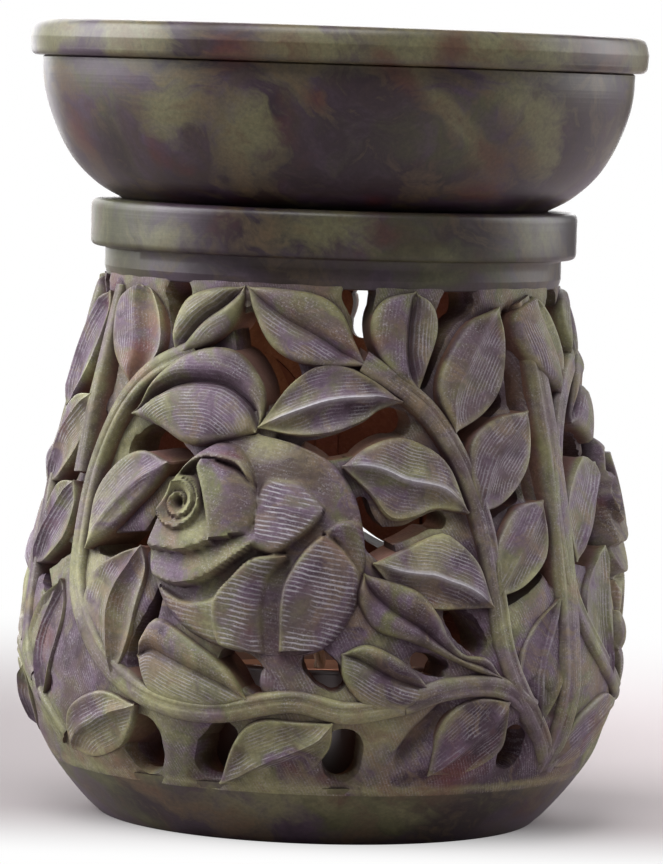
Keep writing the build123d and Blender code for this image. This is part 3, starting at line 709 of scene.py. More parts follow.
def carve_leaf(blank, row, panel, inset):
    """One leaf, cut through the wall with a ribbed, hatched top."""
    title, base, tip, left_edge, right_edge, made = row
    rib, crest, left_hollow, right_hollow, tilt, left_hatch, right_hatch = made
    _, _, half_angle = panel
    wall = burner().wall
    _, (along, across, _) = seats_of(blank)
    stations = stations_along(along)
    spread = spread_across(across, rib)
    girth = girth_of((base, tip))
    left, right = (flowing(flat_places((base, *edge, tip), half_angle, girth), stations)
                   for edge in (left_edge, right_edge))
    flat, width = strip(left, right, spread)
    away = np.where(spread < rib, (rib - spread) / (1 + rib), (spread - rib) / (1 - rib))[None, :]
    hollow = np.where(spread < rib, left_hollow, right_hollow)[None, :] * MM
    from_rib = np.abs(spread - rib)[None, :] * width
    ease = np.clip(width / (2.2 * MM), 0, 1)
    drop, inside = rounded_edge(spread, width, wall.edge_round)
    height = (wall.leaf_lift + tilt * MM * spread[None, :] * ease
              - 1.35 * hollow * np.sin(math.pi * away ** 0.85) * ease
              + 1.25 * crest * MM * np.exp(-(from_rib / (0.75 * MM)) ** 2) * ease
              + max(crest, 0) * 0.6 * MM * (1 - away) ** 2 * ease - drop)
    hatch = np.where(spread < rib, left_hatch, right_hatch)[None, :]
    marks = {
        "across": (spread - rib)[None, :] * width / MM,
        "along": (stations * np.linalg.norm(right[-1] - left[0]))[:, None] / MM,
        "tooled": 0.52 * hatch * np.clip((inside - 0.5 * MM) / (0.7 * MM), 0, 1),
        "edge": np.clip(1 - inside / (1.3 * MM), 0, 1),
        "chalk": ((crest > 0.42) * np.exp(-(from_rib / (0.28 * MM)) ** 2)
                  * np.clip(width / (1.5 * MM) - 0.6, 0, 1)),
    }
    return cut_through(blank, title, flat, girth, panel, height, inset, marks)


def carve_stem(blank, title, points, panel, width, lift, inset):
    """One vine with a rounded, twice ridged back."""
    _, _, half_angle = panel
    _, (along, across, _) = seats_of(blank)
    stations = np.linspace(0, 1, along)
    spread = spread_across(across, 0.0)
    girth = girth_of(points)
    line = flowing(flat_places(points, half_angle, girth), stations)
    aside = aside_of(line) * width / 2
    flat, half = strip(line - aside, line + aside, spread)
    drop, inside = rounded_edge(spread, half, 0.9 * MM)
    groove = 0.22 * MM * np.exp(-((spread - 0.25) / 0.16) ** 2)[None, :]
    marks = {
        "across": spread[None, :] * half / MM,
        "along": stations[:, None] * 60,
        "tooled": 0.15,
        "edge": np.clip(1 - inside / (1.0 * MM), 0, 1) * 0.6 + 0.3,
        "chalk": 0,
    }
    return cut_through(blank, title, flat, girth, panel, lift - drop - groove, inset, marks)


def carve_pad(blank, place, panel, inset):
    """Plain round pad of stone, a little below the leaves."""
    across, up, radius = place
    _, _, half_angle = panel
    wall = burner().wall
    girth = girth_of(((across, up),))
    share = np.array((radius * MM / (math.radians(half_angle) * girth),
                      radius * MM / (wall.neck_height - wall.ledge_height)))
    turns = np.linspace(0, math.pi, 7)
    edges = [[np.array((across, up)) + share * (side * math.sin(turn), -math.cos(turn)) for turn in turns]
             for side in (-1, 1)]
    _, (along, count, _) = seats_of(blank)
    spread = spread_across(count, 0.0)
    stations = stations_along(along)
    left, right = (flowing(flat_places(edge, half_angle, girth), stations) for edge in edges)
    flat, width = strip(left, right, spread)
    drop, _ = rounded_edge(spread, width, 0.6 * MM)
    marks = {"across": spread[None, :] * width / MM, "along": stations[:, None] * 5, "tooled": 0.35,
             "edge": 0.1, "chalk": 0}
    return cut_through(blank, "pad", flat, girth, panel, -0.7 * MM - drop, inset, marks)


def reach_to(flat, line):
    """Distance from flat places to a line of points."""
    best = np.full(flat.shape[:-1], np.inf)
    for start, end in zip(line, line[1:]):
        run = end - start
        share = np.clip(((flat - start) @ run) / max(run @ run, 1e-15), 0, 1)
        best = np.minimum(best, np.linalg.norm(flat - start - share[..., None] * run, axis=-1))
    return best


def within(flat, corners):
    """Which flat places lie inside a closed line of corners."""
    inside = np.zeros(flat.shape[:-1], bool)
    x, y = flat[..., 0], flat[..., 1]
    for (ax, ay), (bx, by) in zip(corners, np.roll(corners, -1, axis=0)):
        crossing = (ay > y) != (by > y)
        inside ^= crossing & (x < (bx - ax) * (y - ay) / (by - ay if by != ay else 1e-15) + ax)
    return inside


def eased(value, low, high):
    """Soft step from 0 to 1."""
    share = np.clip((value - low) / (high - low), 0, 1)
    return share * share * (3 - 2 * share)


def roll_bud(flat, heart):
    """Height and cover of the rolled bud: one petal wound inwards, lower turn by turn."""
    local = (flat - heart) / MM
    far = np.linalg.norm(local, axis=-1)
    turn = np.arctan2(local[..., 1], local[..., 0]) / math.tau
    lip = np.mod(far / 1.5 - turn + 0.35, 1)
    height = 0.55 + 0.32 * far + 0.95 * lip * (1 - eased(lip, 0.72, 1.0)) - 0.8 * (1 - eased(far, 0.2, 0.9))
    return height * MM, 1 - eased(far, 3.0, 3.6)


def carve_rose(blank, panel, inset):
    """Rose of one panel: a domed boss with overlapping petals and a rolled bud, cut through the wall."""
    _, _, half_angle = panel
    wall = burner().wall
    girth = girth_of((ROSE_PLACE,))
    centre = flat_places((ROSE_PLACE,), half_angle, girth)[0]
    _, (along, across, _) = seats_of(blank)
    stations = stations_along(along)
    swing = math.pi / 2 * 0.86
    spread = np.sin(np.linspace(-1, 1, across) * swing) / math.sin(swing)
    left, right = (flowing(flat_places(edge, half_angle, girth), stations) for edge in BOSS_EDGES)
    flat, width = strip(left, right, spread)
    far = np.linalg.norm(flat - centre, axis=-1) / wall.rose_radius
    dome = wall.rose_crown - 1.3 * MM * far ** 2
    relief = np.full(far.shape, -0.1 * MM)
    tooled = np.full(far.shape, 0.12)
    worn = np.full(far.shape, 0.1)
    for _, first_edge, second_edge, (first, second, swell, hatch) in PETALS:
        lines = [flowing(flat_places(edge, half_angle, girth), np.linspace(0, 1, 24))
                 for edge in (first_edge, second_edge)]
        near, off = (reach_to(flat, line) for line in lines)
        depth = np.minimum(near, off) * np.where(within(flat, np.vstack((lines[0], lines[1][::-1]))), 1, -1)
        share = near / np.maximum(near + off, 1e-9)
        height = (first + (second - first) * share + swell * np.sin(math.pi * share)) * MM
        height = height - 0.30 * MM * (1 - np.clip(depth / (0.7 * MM), 0, 1)) ** 2
        cover = eased(depth, -0.28 * MM, 0.22 * MM)
        relief = relief + (height - relief) * cover
        tooled = tooled + (hatch * eased(depth, 0.1 * MM, 0.8 * MM) - tooled) * cover
        worn = worn + (0.75 * (1 - eased(depth, 0, 0.9 * MM)) - worn) * cover
    height, cover = roll_bud(flat, flat_places((BUD_PLACE,), half_angle, girth)[0])
    relief = 1.2 * (relief + (height - relief) * cover)
    tooled = tooled * (1 - cover)
    drop, inside = rounded_edge(spread, width, 0.9 * MM)
    height = dome + relief * eased(inside, 0, 1.6 * MM) - drop
    local = (flat - centre) / MM
    lean = math.radians(-9)
    marks = {
        "across": 0.72 * (local[..., 1] * math.cos(lean) - local[..., 0] * math.sin(lean)),
        "along": local[..., 0] * math.cos(lean) + local[..., 1] * math.sin(lean),
        "tooled": tooled,
        "edge": worn,
        "chalk": 0,
    }
    return cut_through(blank, "rose", flat, girth, panel, height, inset, marks)


def drill_edge(places, half_angle, girth, stations):
    """Middle line and half width of a filed row of drilled places, with round ends."""
    places = np.asarray(places, float)
    line = flat_places(places[:, :2], half_angle, girth)
    radius = places[:, 2] * MM
    gone = np.append(0, np.cumsum(np.linalg.norm(np.diff(line, axis=0), axis=1)))
    total = gone[-1]
    at = -radius[0] + stations * (total + radius[0] + radius[-1])
    middle = flowing(line, np.clip(at / total, 0, 1))
    first, last = line[1] - line[0], line[-1] - line[-2]
    middle = middle + np.minimum(at, 0)[:, None] * first / np.linalg.norm(first)
    middle = middle + np.maximum(at - total, 0)[:, None] * last / np.linalg.norm(last)
    half = np.interp(at, gone, radius)
    over = np.maximum(-at, at - total).clip(0)
    return middle, np.sqrt(np.maximum(half ** 2 - over ** 2, 0))


def drill_hole(blank, places, panel):
    """Cutter for one hole of the wall."""
    _, middle_angle, half_angle = panel
    girth = girth_of(places)
    _, (along, across, _) = seats_of(blank)
    middle, half = drill_edge(places, half_angle, girth, stations_along(along))
    aside = aside_of(middle) * half[:, None]
    flat, _ = strip(middle - aside, middle + aside, np.linspace(-1, 1, across))
    angle = flat[..., 0] / girth + math.radians(middle_angle)
    z = flat[..., 1]
    return cut_from(blank, "drill", on_wall(angle, z, 4 * MM), on_wall(angle, z, -2 * MM),
                    in_chamber(angle, z, -3 * MM), {})


def reach_to_holes(flat, rows, half_angle, girth):
    """Distance from flat places to the nearest edge of some filed holes, below zero inside one."""
    best = np.full(flat.shape[:-1], np.inf)
    for places in rows:
        middle, half = drill_edge(places, half_angle, girth, np.linspace(0, 1, 40))
        for centre, radius in zip(middle, half):
            best = np.minimum(best, np.linalg.norm(flat - centre, axis=-1) - radius)
    return best


def carve_ground(blank, drill_blank, panel, inset):
    """Stone left between the leaves of one panel, sunk below them, gouged and pierced."""
    name, _, half_angle = panel
    wall = burner().wall
    _, (along, across, _) = seats_of(blank)
    girth = girth_of(((0, 0.5),))
    side, up = np.meshgrid(np.linspace(-1, 1, along), np.linspace(-0.015, 1.015, across), indexing="ij")
    flat = flat_places(np.column_stack((side.ravel(), up.ravel())), half_angle, girth)
    flat = flat.reshape(along, across, 2)
    depth = wall.ground_depth * (0.35 + 0.9 * eased(up, 0.3, 0.68))
    depth = depth * eased(up, -0.01, 0.12) * (1 - 0.9 * eased(up, 0.93, 1.0))
    depth = depth + 0.09 * MM * (np.sin(flat[..., 0] / MM * 0.9) * np.sin(flat[..., 1] / MM * 0.7 + 1))
    gouged = reach_to_holes(flat, GOUGES, half_angle, girth)
    depth = depth + 2.2 * MM * (1 - eased(gouged, -1.6 * MM, 0.3 * MM))
    holes = HOLES + (FRONT_HOLES if name == "front" else SIDE_HOLES)
    near = reach_to_holes(flat, holes, half_angle, girth)
    short = np.clip(wall.edge_round - near, 0, wall.edge_round)
    depth = depth + wall.edge_round - np.sqrt(wall.edge_round ** 2 - short ** 2)
    piece = cut_through(blank, "ground", flat, girth, panel, -depth, inset, {})
    # Neighbouring holes may run into each other, so they are cut in two turns.
    for turn in (0, 1):
        drills = join_as("drills", [drill_hole(drill_blank, places, panel) for places in holes[turn::2]])
        close_up(drills, 30)
        take_up(piece)
        change = piece.modifiers.new("holes", "BOOLEAN")
        change.operation = "DIFFERENCE"
        change.object = drills
        change.solver = "EXACT"
        bpy.ops.object.modifier_apply(modifier=change.name)
        bpy.data.objects.remove(drills)
    places = places_of(piece)
    sunk = wall_radius(places[:, 2]) - np.hypot(places[:, 0], places[:, 1])
    turn = np.arctan2(places[:, 0], -places[:, 1])
    high = places[:, 2] / MM
    for title, values in (("across", turn * girth / MM + high * 0.5), ("along", high),
                          ("tooled", 0.2 - 0.2 * eased(sunk, 2 * MM, 3 * MM)), ("edge", 0 * sunk),
                          ("chalk", 0 * sunk), ("cut", eased(sunk, 2.2 * MM, 3.6 * MM))):
        mark(piece.data, title, values)
    return piece


# Finishes

def add_node(tree, kind, inputs, **settings):
    """One node with its settings, values and links."""
    made = tree.nodes.new(kind)
    for name, value in settings.items():
        setattr(made, name, value)
    for place, value in inputs.items():
        if isinstance(value, bpy.types.NodeSocket):
            tree.links.new(value, made.inputs[place])
        else:
            made.inputs[place].default_value = value
    return made


def new_finish(name):
    """Empty material with its node tree and its shader."""
    material = bpy.data.materials.new(name)
    material.use_nodes = True
    return material, material.node_tree, material.node_tree.nodes["Principled BSDF"]


def soapstone(name, offset, carved, shade, purple):
    """Soapstone: soft talc stone in clouds of olive, cream and plum. Turned and rubbed with wax it is satin;
    carved with files and gouges it stays dull, dusty in its tool marks and worn along its edges, with painted
    shade laid into its crevices."""
    if name in bpy.data.materials:
        return bpy.data.materials[name]
    stone = burner().stone
    material, tree, shader = new_finish(name)
    place = add_node(tree, "ShaderNodeTexCoord", {}).outputs["Object"]
    place = add_node(tree, "ShaderNodeMapping", {"Vector": place, "Location": offset,
                                                 "Rotation": (0.35, -0.5, 0.2)}).outputs[0]
    broad = 1 / stone.cloud_size
    stir = add_node(tree, "ShaderNodeTexNoise", {"Vector": place, "Scale": broad * 1.1,
                                                 "Detail": 3.0}).outputs["Color"]
    stir = add_node(tree, "ShaderNodeVectorMath", {0: stir, 1: (0.5, 0.5, 0.5)},
                    operation="SUBTRACT").outputs[0]
    stir = add_node(tree, "ShaderNodeVectorMath", {0: stir, 1: (0.022, 0.022, 0.022)},
                    operation="MULTIPLY").outputs[0]
    place_stirred = add_node(tree, "ShaderNodeVectorMath", {0: place, 1: stir}, operation="ADD").outputs[0]
    cloud = add_node(tree, "ShaderNodeTexNoise", {"Vector": place_stirred,
                                                  "Scale": broad * (1.25 if carved else 0.8), "Detail": 6.0,
                                                  "Roughness": 0.58}).outputs["Fac"]
    ramp = add_node(tree, "ShaderNodeValToRGB", {"Fac": cloud})
    stops = ((0.38, stone.plum), (0.47 + purple, stone.lilac), (0.56 + purple, stone.olive),
             (0.70 + purple, stone.cream))
    while len(ramp.color_ramp.elements) < len(stops):
        ramp.color_ramp.elements.new(0.5)
    for element, (at, colour) in zip(ramp.color_ramp.elements, stops):
        element.position = at
        element.color = colour
    colour = ramp.outputs["Color"]
    vein = add_node(tree, "ShaderNodeTexNoise", {"Vector": place_stirred, "Scale": broad * 0.55,
                                                 "Detail": 4.0,
                                                 "Distortion": 0.6}).outputs["Fac"]
    vein = add_node(tree, "ShaderNodeMath", {0: vein, 1: 0.5}, operation="SUBTRACT").outputs[0]
    vein = add_node(tree, "ShaderNodeMath", {0: vein}, operation="ABSOLUTE").outputs[0]
    vein = add_node(tree, "ShaderNodeMapRange", {"Value": vein, "From Min": 0.0, "From Max": 0.05,
                                                 "To Min": 0.55, "To Max": 0.0}).outputs[0]
    colour = add_node(tree, "ShaderNodeMix", {0: vein, 6: colour, 7: stone.umber},
                      data_type="RGBA").outputs[2]
    fleck = add_node(tree, "ShaderNodeTexNoise", {"Vector": place, "Scale": broad * 2.1,
                                                  "Detail": 5.0}).outputs["Fac"]
    fleck = add_node(tree, "ShaderNodeMapRange", {"Value": fleck, "From Min": 0.60, "From Max": 0.74,
                                                  "To Min": 0.0, "To Max": 0.6}).outputs[0]
    colour = add_node(tree, "ShaderNodeMix", {0: fleck, 6: colour, 7: stone.rust},
                      data_type="RGBA").outputs[2]
    for title, tint, strength in (("plum", stone.plum, 0.85), ("cream", stone.cream, 0.85), ("rust",
                                                                                             stone.rust, 0.7)):
        cover = add_node(tree, "ShaderNodeAttribute", {}, attribute_name=title).outputs["Fac"]
        drawn = add_node(tree, "ShaderNodeMapping", {"Vector": place_stirred, "Rotation": (0.2, 0.75, 0.0),
                                                     "Scale": (0.7, 1.0, 2.1)}).outputs[0]
        ragged = add_node(tree, "ShaderNodeTexNoise", {"Vector": drawn, "Scale": broad * 1.5,
                                                       "Detail": 8.0, "Roughness": 0.66}).outputs["Fac"]
        cover = add_node(tree, "ShaderNodeMath", {0: ragged, 1: 4.2, 2: cover},
                         operation="MULTIPLY_ADD").outputs[0]
        cover = add_node(tree, "ShaderNodeMapRange", {"Value": cover, "From Min": 2.2, "From Max": 3.05,
                                                      "To Min": 0.0, "To Max": strength}).outputs[0]
        colour = add_node(tree, "ShaderNodeMix", {0: cover, 6: colour, 7: tint}, data_type="RGBA").outputs[2]
    # Grain of about half a millimetre, drawn a little coarser than the talc's own so that it shows.
    grain = add_node(tree, "ShaderNodeTexNoise", {"Vector": place, "Scale": 1900.0, "Detail": 3.0,
                                                  "Roughness": 0.7}).outputs["Fac"]
    pale = add_node(tree, "ShaderNodeMapRange", {"Value": grain, "From Min": 0.35, "From Max": 0.7,
                                                 "To Min": 0.80 * shade, "To Max": 1.14 * shade}).outputs[0]
    if carved:
        marks = {title: add_node(tree, "ShaderNodeAttribute", {}, attribute_name=title).outputs["Fac"]
                 for title in ("across", "along", "tooled", "edge", "chalk", "cut")}
        drift = add_node(tree, "ShaderNodeTexNoise", {"Vector": place, "Scale": 260.0,
                                                      "Detail": 2.0}).outputs["Fac"]
        drift = add_node(tree, "ShaderNodeMath", {0: drift, 1: 0.55}, operation="MULTIPLY").outputs[0]
        lane = add_node(tree, "ShaderNodeMath", {0: marks["across"], 1: drift}, operation="ADD").outputs[0]
        slow = add_node(tree, "ShaderNodeMath", {0: marks["along"], 1: 0.06},
                        operation="MULTIPLY").outputs[0]
        rows = add_node(tree, "ShaderNodeCombineXYZ", {"X": lane, "Y": slow}).outputs[0]
        spacing = stone.hatch_spacing / MM
        wave = add_node(tree, "ShaderNodeTexWave", {"Vector": rows, "Scale": 0.314 / spacing,
                                                    "Distortion": 1.2,
                                                    "Detail": 2.0, "Detail Scale": 3.0},
                        wave_type="BANDS", bands_direction="X").outputs["Fac"]
        streak = add_node(tree, "ShaderNodeTexNoise", {"Vector": rows, "Scale": 2.6, "Detail": 4.0,
                                                       "Roughness": 0.65}).outputs["Fac"]
        patch = add_node(tree, "ShaderNodeTexNoise", {"Vector": place, "Scale": 420.0,
                                                      "Detail": 3.0}).outputs["Fac"]
        patch = add_node(tree, "ShaderNodeMapRange", {"Value": patch, "From Min": 0.35, "From Max": 0.62,
                                                      "To Min": 0.1, "To Max": 1.2}).outputs[0]
        wave = add_node(tree, "ShaderNodeMapRange", {"Value": wave, "From Min": 0.42,
                                                     "From Max": 0.95}).outputs[0]
        hatch = add_node(tree, "ShaderNodeMath", {0: wave, 1: streak}, operation="MULTIPLY").outputs[0]
        hatch = add_node(tree, "ShaderNodeMath", {0: hatch, 1: patch}, operation="MULTIPLY").outputs[0]
        hatch = add_node(tree, "ShaderNodeMapRange", {"Value": hatch, "From Min": 0.08,
                                                      "From Max": 0.5}).outputs[0]
        hatch = add_node(tree, "ShaderNodeMath", {0: hatch, 1: marks["tooled"]},
                         operation="MULTIPLY").outputs[0]
        dusty = add_node(tree, "ShaderNodeMath", {0: marks["tooled"], 1: 0.30},
                         operation="MULTIPLY").outputs[0]
        colour = add_node(tree, "ShaderNodeMix", {0: dusty, 6: colour, 7: stone.lilac},
                          data_type="RGBA").outputs[2]
        lit = add_node(tree, "ShaderNodeMath", {0: hatch, 1: 0.62}, operation="MULTIPLY").outputs[0]
        colour = add_node(tree, "ShaderNodeMix", {0: lit, 6: colour, 7: stone.dust},
                          data_type="RGBA").outputs[2]
        bare = add_node(tree, "ShaderNodeMapRange", {"Value": drift, "From Min": 0.2, "From Max": 0.36,
                                                     "To Min": 0.08, "To Max": 0.6}).outputs[0]
        worn = add_node(tree, "ShaderNodeMath", {0: marks["edge"], 1: bare}, operation="MULTIPLY").outputs[0]
        colour = add_node(tree, "ShaderNodeMix", {0: worn, 6: colour, 7: stone.cream},
                          data_type="RGBA").outputs[2]
        line = add_node(tree, "ShaderNodeMath", {0: marks["chalk"], 1: 0.85},
                        operation="MULTIPLY").outputs[0]
        colour = add_node(tree, "ShaderNodeMix", {0: line, 6: colour, 7: stone.dust},
                          data_type="RGBA").outputs[2]
        salt = add_node(tree, "ShaderNodeTexNoise", {"Vector": place, "Scale": 4600.0,
                                                     "Detail": 1.0}).outputs["Fac"]
        salt = add_node(tree, "ShaderNodeMapRange", {"Value": salt, "From Min": 0.55, "From Max": 0.8,
                                                     "To Min": 0.0, "To Max": 0.38}).outputs[0]
        salt = add_node(tree, "ShaderNodeMath", {0: salt, 1: patch}, operation="MULTIPLY").outputs[0]
        colour = add_node(tree, "ShaderNodeMix", {0: salt, 6: colour, 7: stone.dust},
                          data_type="RGBA").outputs[2]
        # Painted shade: plum is mixed into corners and creases within two millimetres, most where the ambient
        # occlusion finds them shut in.
        open_sky = add_node(tree, "ShaderNodeAmbientOcclusion", {"Distance": 0.0022},
                            samples=6).outputs["AO"]
        painted_crevice_shade = add_node(tree, "ShaderNodeMapRange", {"Value": open_sky, "From Min": 0.9, "From Max": 0.4,
                                                     "To Min": 0.0, "To Max": 0.85}).outputs[0]
        colour = add_node(tree, "ShaderNodeMix", {0: painted_crevice_shade, 6: colour, 7: stone.plum},
                          data_type="RGBA").outputs[2]
        deep = add_node(tree, "ShaderNodeMath", {0: marks["cut"], 1: 0.7}, operation="MULTIPLY").outputs[0]
        colour = add_node(tree, "ShaderNodeMix", {0: deep, 6: colour, 7: stone.soot},
                          data_type="RGBA").outputs[2]
    colour = add_node(tree, "ShaderNodeMix", {0: 1.0, 6: colour, 7: pale}, data_type="RGBA",
                      blend_type="MULTIPLY").outputs[2]
    tree.links.new(colour, shader.inputs["Base Color"])
    if carved:
        relief = add_node(tree, "ShaderNodeMath", {0: hatch, 1: 0.9}, operation="MULTIPLY").outputs[0]
        relief = add_node(tree, "ShaderNodeMath", {0: grain, 1: 0.35, 2: relief},
                          operation="MULTIPLY_ADD").outputs[0]
        rough = add_node(tree, "ShaderNodeMapRange", {"Value": marks["edge"], "To Min": 0.72,
                                                      "To Max": 0.5}).outputs[0]
    else:
        # Fine rings left by the turning tool, one to every third of a millimetre of height.
        rings = add_node(tree, "ShaderNodeSeparateXYZ", {0: add_node(tree, "ShaderNodeTexCoord",
                                                                     {}).outputs["Object"]})
        rings = add_node(tree, "ShaderNodeTexNoise", {"W": rings.outputs["Z"], "Scale": 3000.0,
                                                      "Detail": 2.0},
                         noise_dimensions="1D").outputs["Fac"]
        relief = add_node(tree, "ShaderNodeMath", {0: grain, 1: 0.3, 2: rings},
                          operation="MULTIPLY_ADD").outputs[0]
        rough = add_node(tree, "ShaderNodeMapRange", {"Value": cloud, "From Min": 0.35, "From Max": 0.65,
                                                      "To Min": 0.36, "To Max": 0.5}).outputs[0]
    tree.links.new(rough, shader.inputs["Roughness"])
    bump = add_node(tree, "ShaderNodeBump", {"Height": relief, "Strength": 0.55 if carved else 0.12,
                                             "Distance": 0.00014 if carved else 0.00008})
    tree.links.new(bump.outputs[0], shader.inputs["Normal"])
    shader.inputs["IOR"].default_value = 1.54
    return material


def pressed_aluminium():
    """Aluminium foil drawn into a cup: bright, with soft vertical drawing lines."""
    material, tree, shader = new_finish("pressed_aluminium")
    place = add_node(tree, "ShaderNodeTexCoord", {}).outputs["Object"]
    lines = add_node(tree, "ShaderNodeMapping", {"Vector": place, "Scale": (1.0, 1.0, 0.08)}).outputs[0]
    drawn = add_node(tree, "ShaderNodeTexNoise", {"Vector": lines, "Scale": 900.0,
                                                  "Detail": 3.0}).outputs["Fac"]
    rough = add_node(tree, "ShaderNodeMapRange", {"Value": drawn, "To Min": 0.22, "To Max": 0.42}).outputs[0]
    tree.links.new(rough, shader.inputs["Roughness"])
    bump = add_node(tree, "ShaderNodeBump", {"Height": drawn, "Strength": 0.2, "Distance": 0.00008})
    tree.links.new(bump.outputs[0], shader.inputs["Normal"])
    shader.inputs["Base Color"].default_value = burner().tealight.foil
    shader.inputs["Metallic"].default_value = 1.0
    return material


def paraffin_wax():
    """Paraffin poured and set: white, faintly clouded, soft in the light."""
    material, tree, shader = new_finish("paraffin_wax")
    place = add_node(tree, "ShaderNodeTexCoord", {}).outputs["Object"]
    cloud = add_node(tree, "ShaderNodeTexNoise", {"Vector": place, "Scale": 240.0,
                                                  "Detail": 4.0}).outputs["Fac"]
    shade = add_node(tree, "ShaderNodeMapRange", {"Value": cloud, "To Min": 0.93, "To Max": 1.04}).outputs[0]
    colour = add_node(tree, "ShaderNodeMix", {0: 1.0, 6: burner().tealight.wax, 7: shade}, data_type="RGBA",
                      blend_type="MULTIPLY").outputs[2]
    tree.links.new(colour, shader.inputs["Base Color"])
    bump = add_node(tree, "ShaderNodeBump", {"Height": cloud, "Strength": 0.2, "Distance": 0.0002})
    tree.links.new(bump.outputs[0], shader.inputs["Normal"])
    shader.inputs["Roughness"].default_value = 0.42
    shader.inputs["IOR"].default_value = 1.43
    shader.inputs["Subsurface Weight"].default_value = 0.25
    shader.inputs["Subsurface Radius"].default_value = (0.003, 0.0025, 0.002)
    return material


def braided_cotton():
    """Bleached cotton yarn: dull, with fibres about a sixth of a millimetre apart."""
    material, tree, shader = new_finish("braided_cotton")
    place = add_node(tree, "ShaderNodeTexCoord", {}).outputs["Object"]
    fibre = add_node(tree, "ShaderNodeTexNoise", {"Vector": place, "Scale": 6000.0,
                                                  "Detail": 2.0}).outputs["Fac"]
    shade = add_node(tree, "ShaderNodeMapRange", {"Value": fibre, "To Min": 0.8, "To Max": 1.1}).outputs[0]
    colour = add_node(tree, "ShaderNodeMix", {0: 1.0, 6: burner().tealight.cotton, 7: shade},
                      data_type="RGBA",
                      blend_type="MULTIPLY").outputs[2]
    tree.links.new(colour, shader.inputs["Base Color"])
    bump = add_node(tree, "ShaderNodeBump", {"Height": fibre, "Strength": 0.5, "Distance": 0.00005})
    tree.links.new(bump.outputs[0], shader.inputs["Normal"])
    shader.inputs["Roughness"].default_value = 0.9
    return material


def tinned_steel():
    """Thin steel stamped and tinned: grey metal with a slight mottle."""
    material, tree, shader = new_finish("tinned_steel")
    place = add_node(tree, "ShaderNodeTexCoord", {}).outputs["Object"]
    mottle = add_node(tree, "ShaderNodeTexNoise", {"Vector": place, "Scale": 1200.0,
                                                   "Detail": 3.0}).outputs["Fac"]
    rough = add_node(tree, "ShaderNodeMapRange", {"Value": mottle, "To Min": 0.28, "To Max": 0.5}).outputs[0]
    tree.links.new(rough, shader.inputs["Roughness"])
    shader.inputs["Base Color"].default_value = burner().tealight.steel
    shader.inputs["Metallic"].default_value = 1.0
    return material


# Kinds of stone finish: name, place in the block, carved or turned, how light it is beside dry stone, and
# how much more purple than green its block is. The foot's copy is made lighter as painted light, for the lamp
# light its downward face misses.
CARVED = ("carved_soapstone", (0.013, 0.031, 0.007), True, 1.12, 0.0)
# Painted light: a lighter copy of the turned stone for the foot, which faces down and gets less light.
TURNED_FOOT_PAINTED_LIGHT = ("turned_soapstone_foot_painted_light", (0.013, 0.031, 0.007), False, 0.66, 0.03)
TURNED_BODY = ("turned_soapstone_body", (0.013, 0.031, 0.007), False, 0.45, 0.05)
TURNED_DISH = ("turned_soapstone_dish", (0.091, 0.012, 0.043), False, 0.57, 0.12)


class OILBURNER_OT_turn_foot(bpy.types.Operator):
    """Turn the plain foot and the chamber floor"""
    bl_idname = "oilburner.turn_foot"
    bl_label = "Turn Foot"

    def execute(self, context):
        wall = burner().wall
        side = [(float(wall_radius(z)), z) for z in np.linspace(1.4 * MM, wall.ledge_height, 7)]
        line = outline((0, 0), (wall.foot_radius - 0.2 * MM, 0, 0.7 * MM), *side,
                       (wall.chamber_ledge, wall.ledge_height),
                       (wall.chamber_ledge - 0.7 * MM, wall.floor_height, 0.6 * MM), (0, wall.floor_height))
        piece = turn_piece("foot_stone", line, 180, False)
        wobble(piece, 0.15 * MM)
        close_up(piece, 40)
        set_down(piece, soapstone(*TURNED_FOOT_PAINTED_LIGHT), "burner", "body_stone", "foot")
        return {"FINISHED"}


class OILBURNER_OT_turn_collar(bpy.types.Operator):
    """Turn the neck band and the seat ring round the mouth"""
    bl_idname = "oilburner.turn_collar"
    bl_label = "Turn Collar"

    def execute(self, context):
        wall = burner().wall
        ring = COLLAR_HIGH.x
        neck, step, seat = wall.neck_height, 73.2 * MM, COLLAR_HIGH.z
        line = outline((wall.mouth_radius, neck), (wall.neck_radius - 0.3 * MM, neck, 0.3 * MM),
                       (wall.neck_radius, neck + 1.2 * MM, 0.4 * MM), (wall.neck_radius, step - 0.3 * MM),
                       (wall.neck_radius + 0.25 * MM, step), (ring - 0.1 * MM, step, 0.9 * MM),
                       (ring, seat, 1.1 * MM), (wall.mouth_radius, seat, 0.4 * MM), (wall.mouth_radius,
                                                                                     neck))
        piece = turn_piece("collar_stone", line, 180, True)
        wobble(piece, 0.12 * MM)
        close_up(piece, 40)
        set_down(piece, soapstone(*TURNED_BODY), "burner", "body_stone", "collar")
        return {"FINISHED"}


class OILBURNER_OT_carve_leaves(bpy.types.Operator):
    """Carve the leaves of the three panels"""
    bl_idname = "oilburner.carve_leaves"
    bl_label = "Carve Leaves"

    def execute(self, context):
        blank = carving_blank("leaf_blank", 30, 22)
        for panel in PANELS:
            cut = [carve_leaf(blank, row, panel, 0.02 * MM * place) for place, row in enumerate(LEAVES)]
            piece = join_as(f"leaves_{panel[0]}", cut)
            close_up(piece, 50)
            set_down(piece, soapstone(*CARVED), "burner", "body_stone", f"panel_{panel[0]}")
        bpy.data.objects.remove(blank)
        return {"FINISHED"}


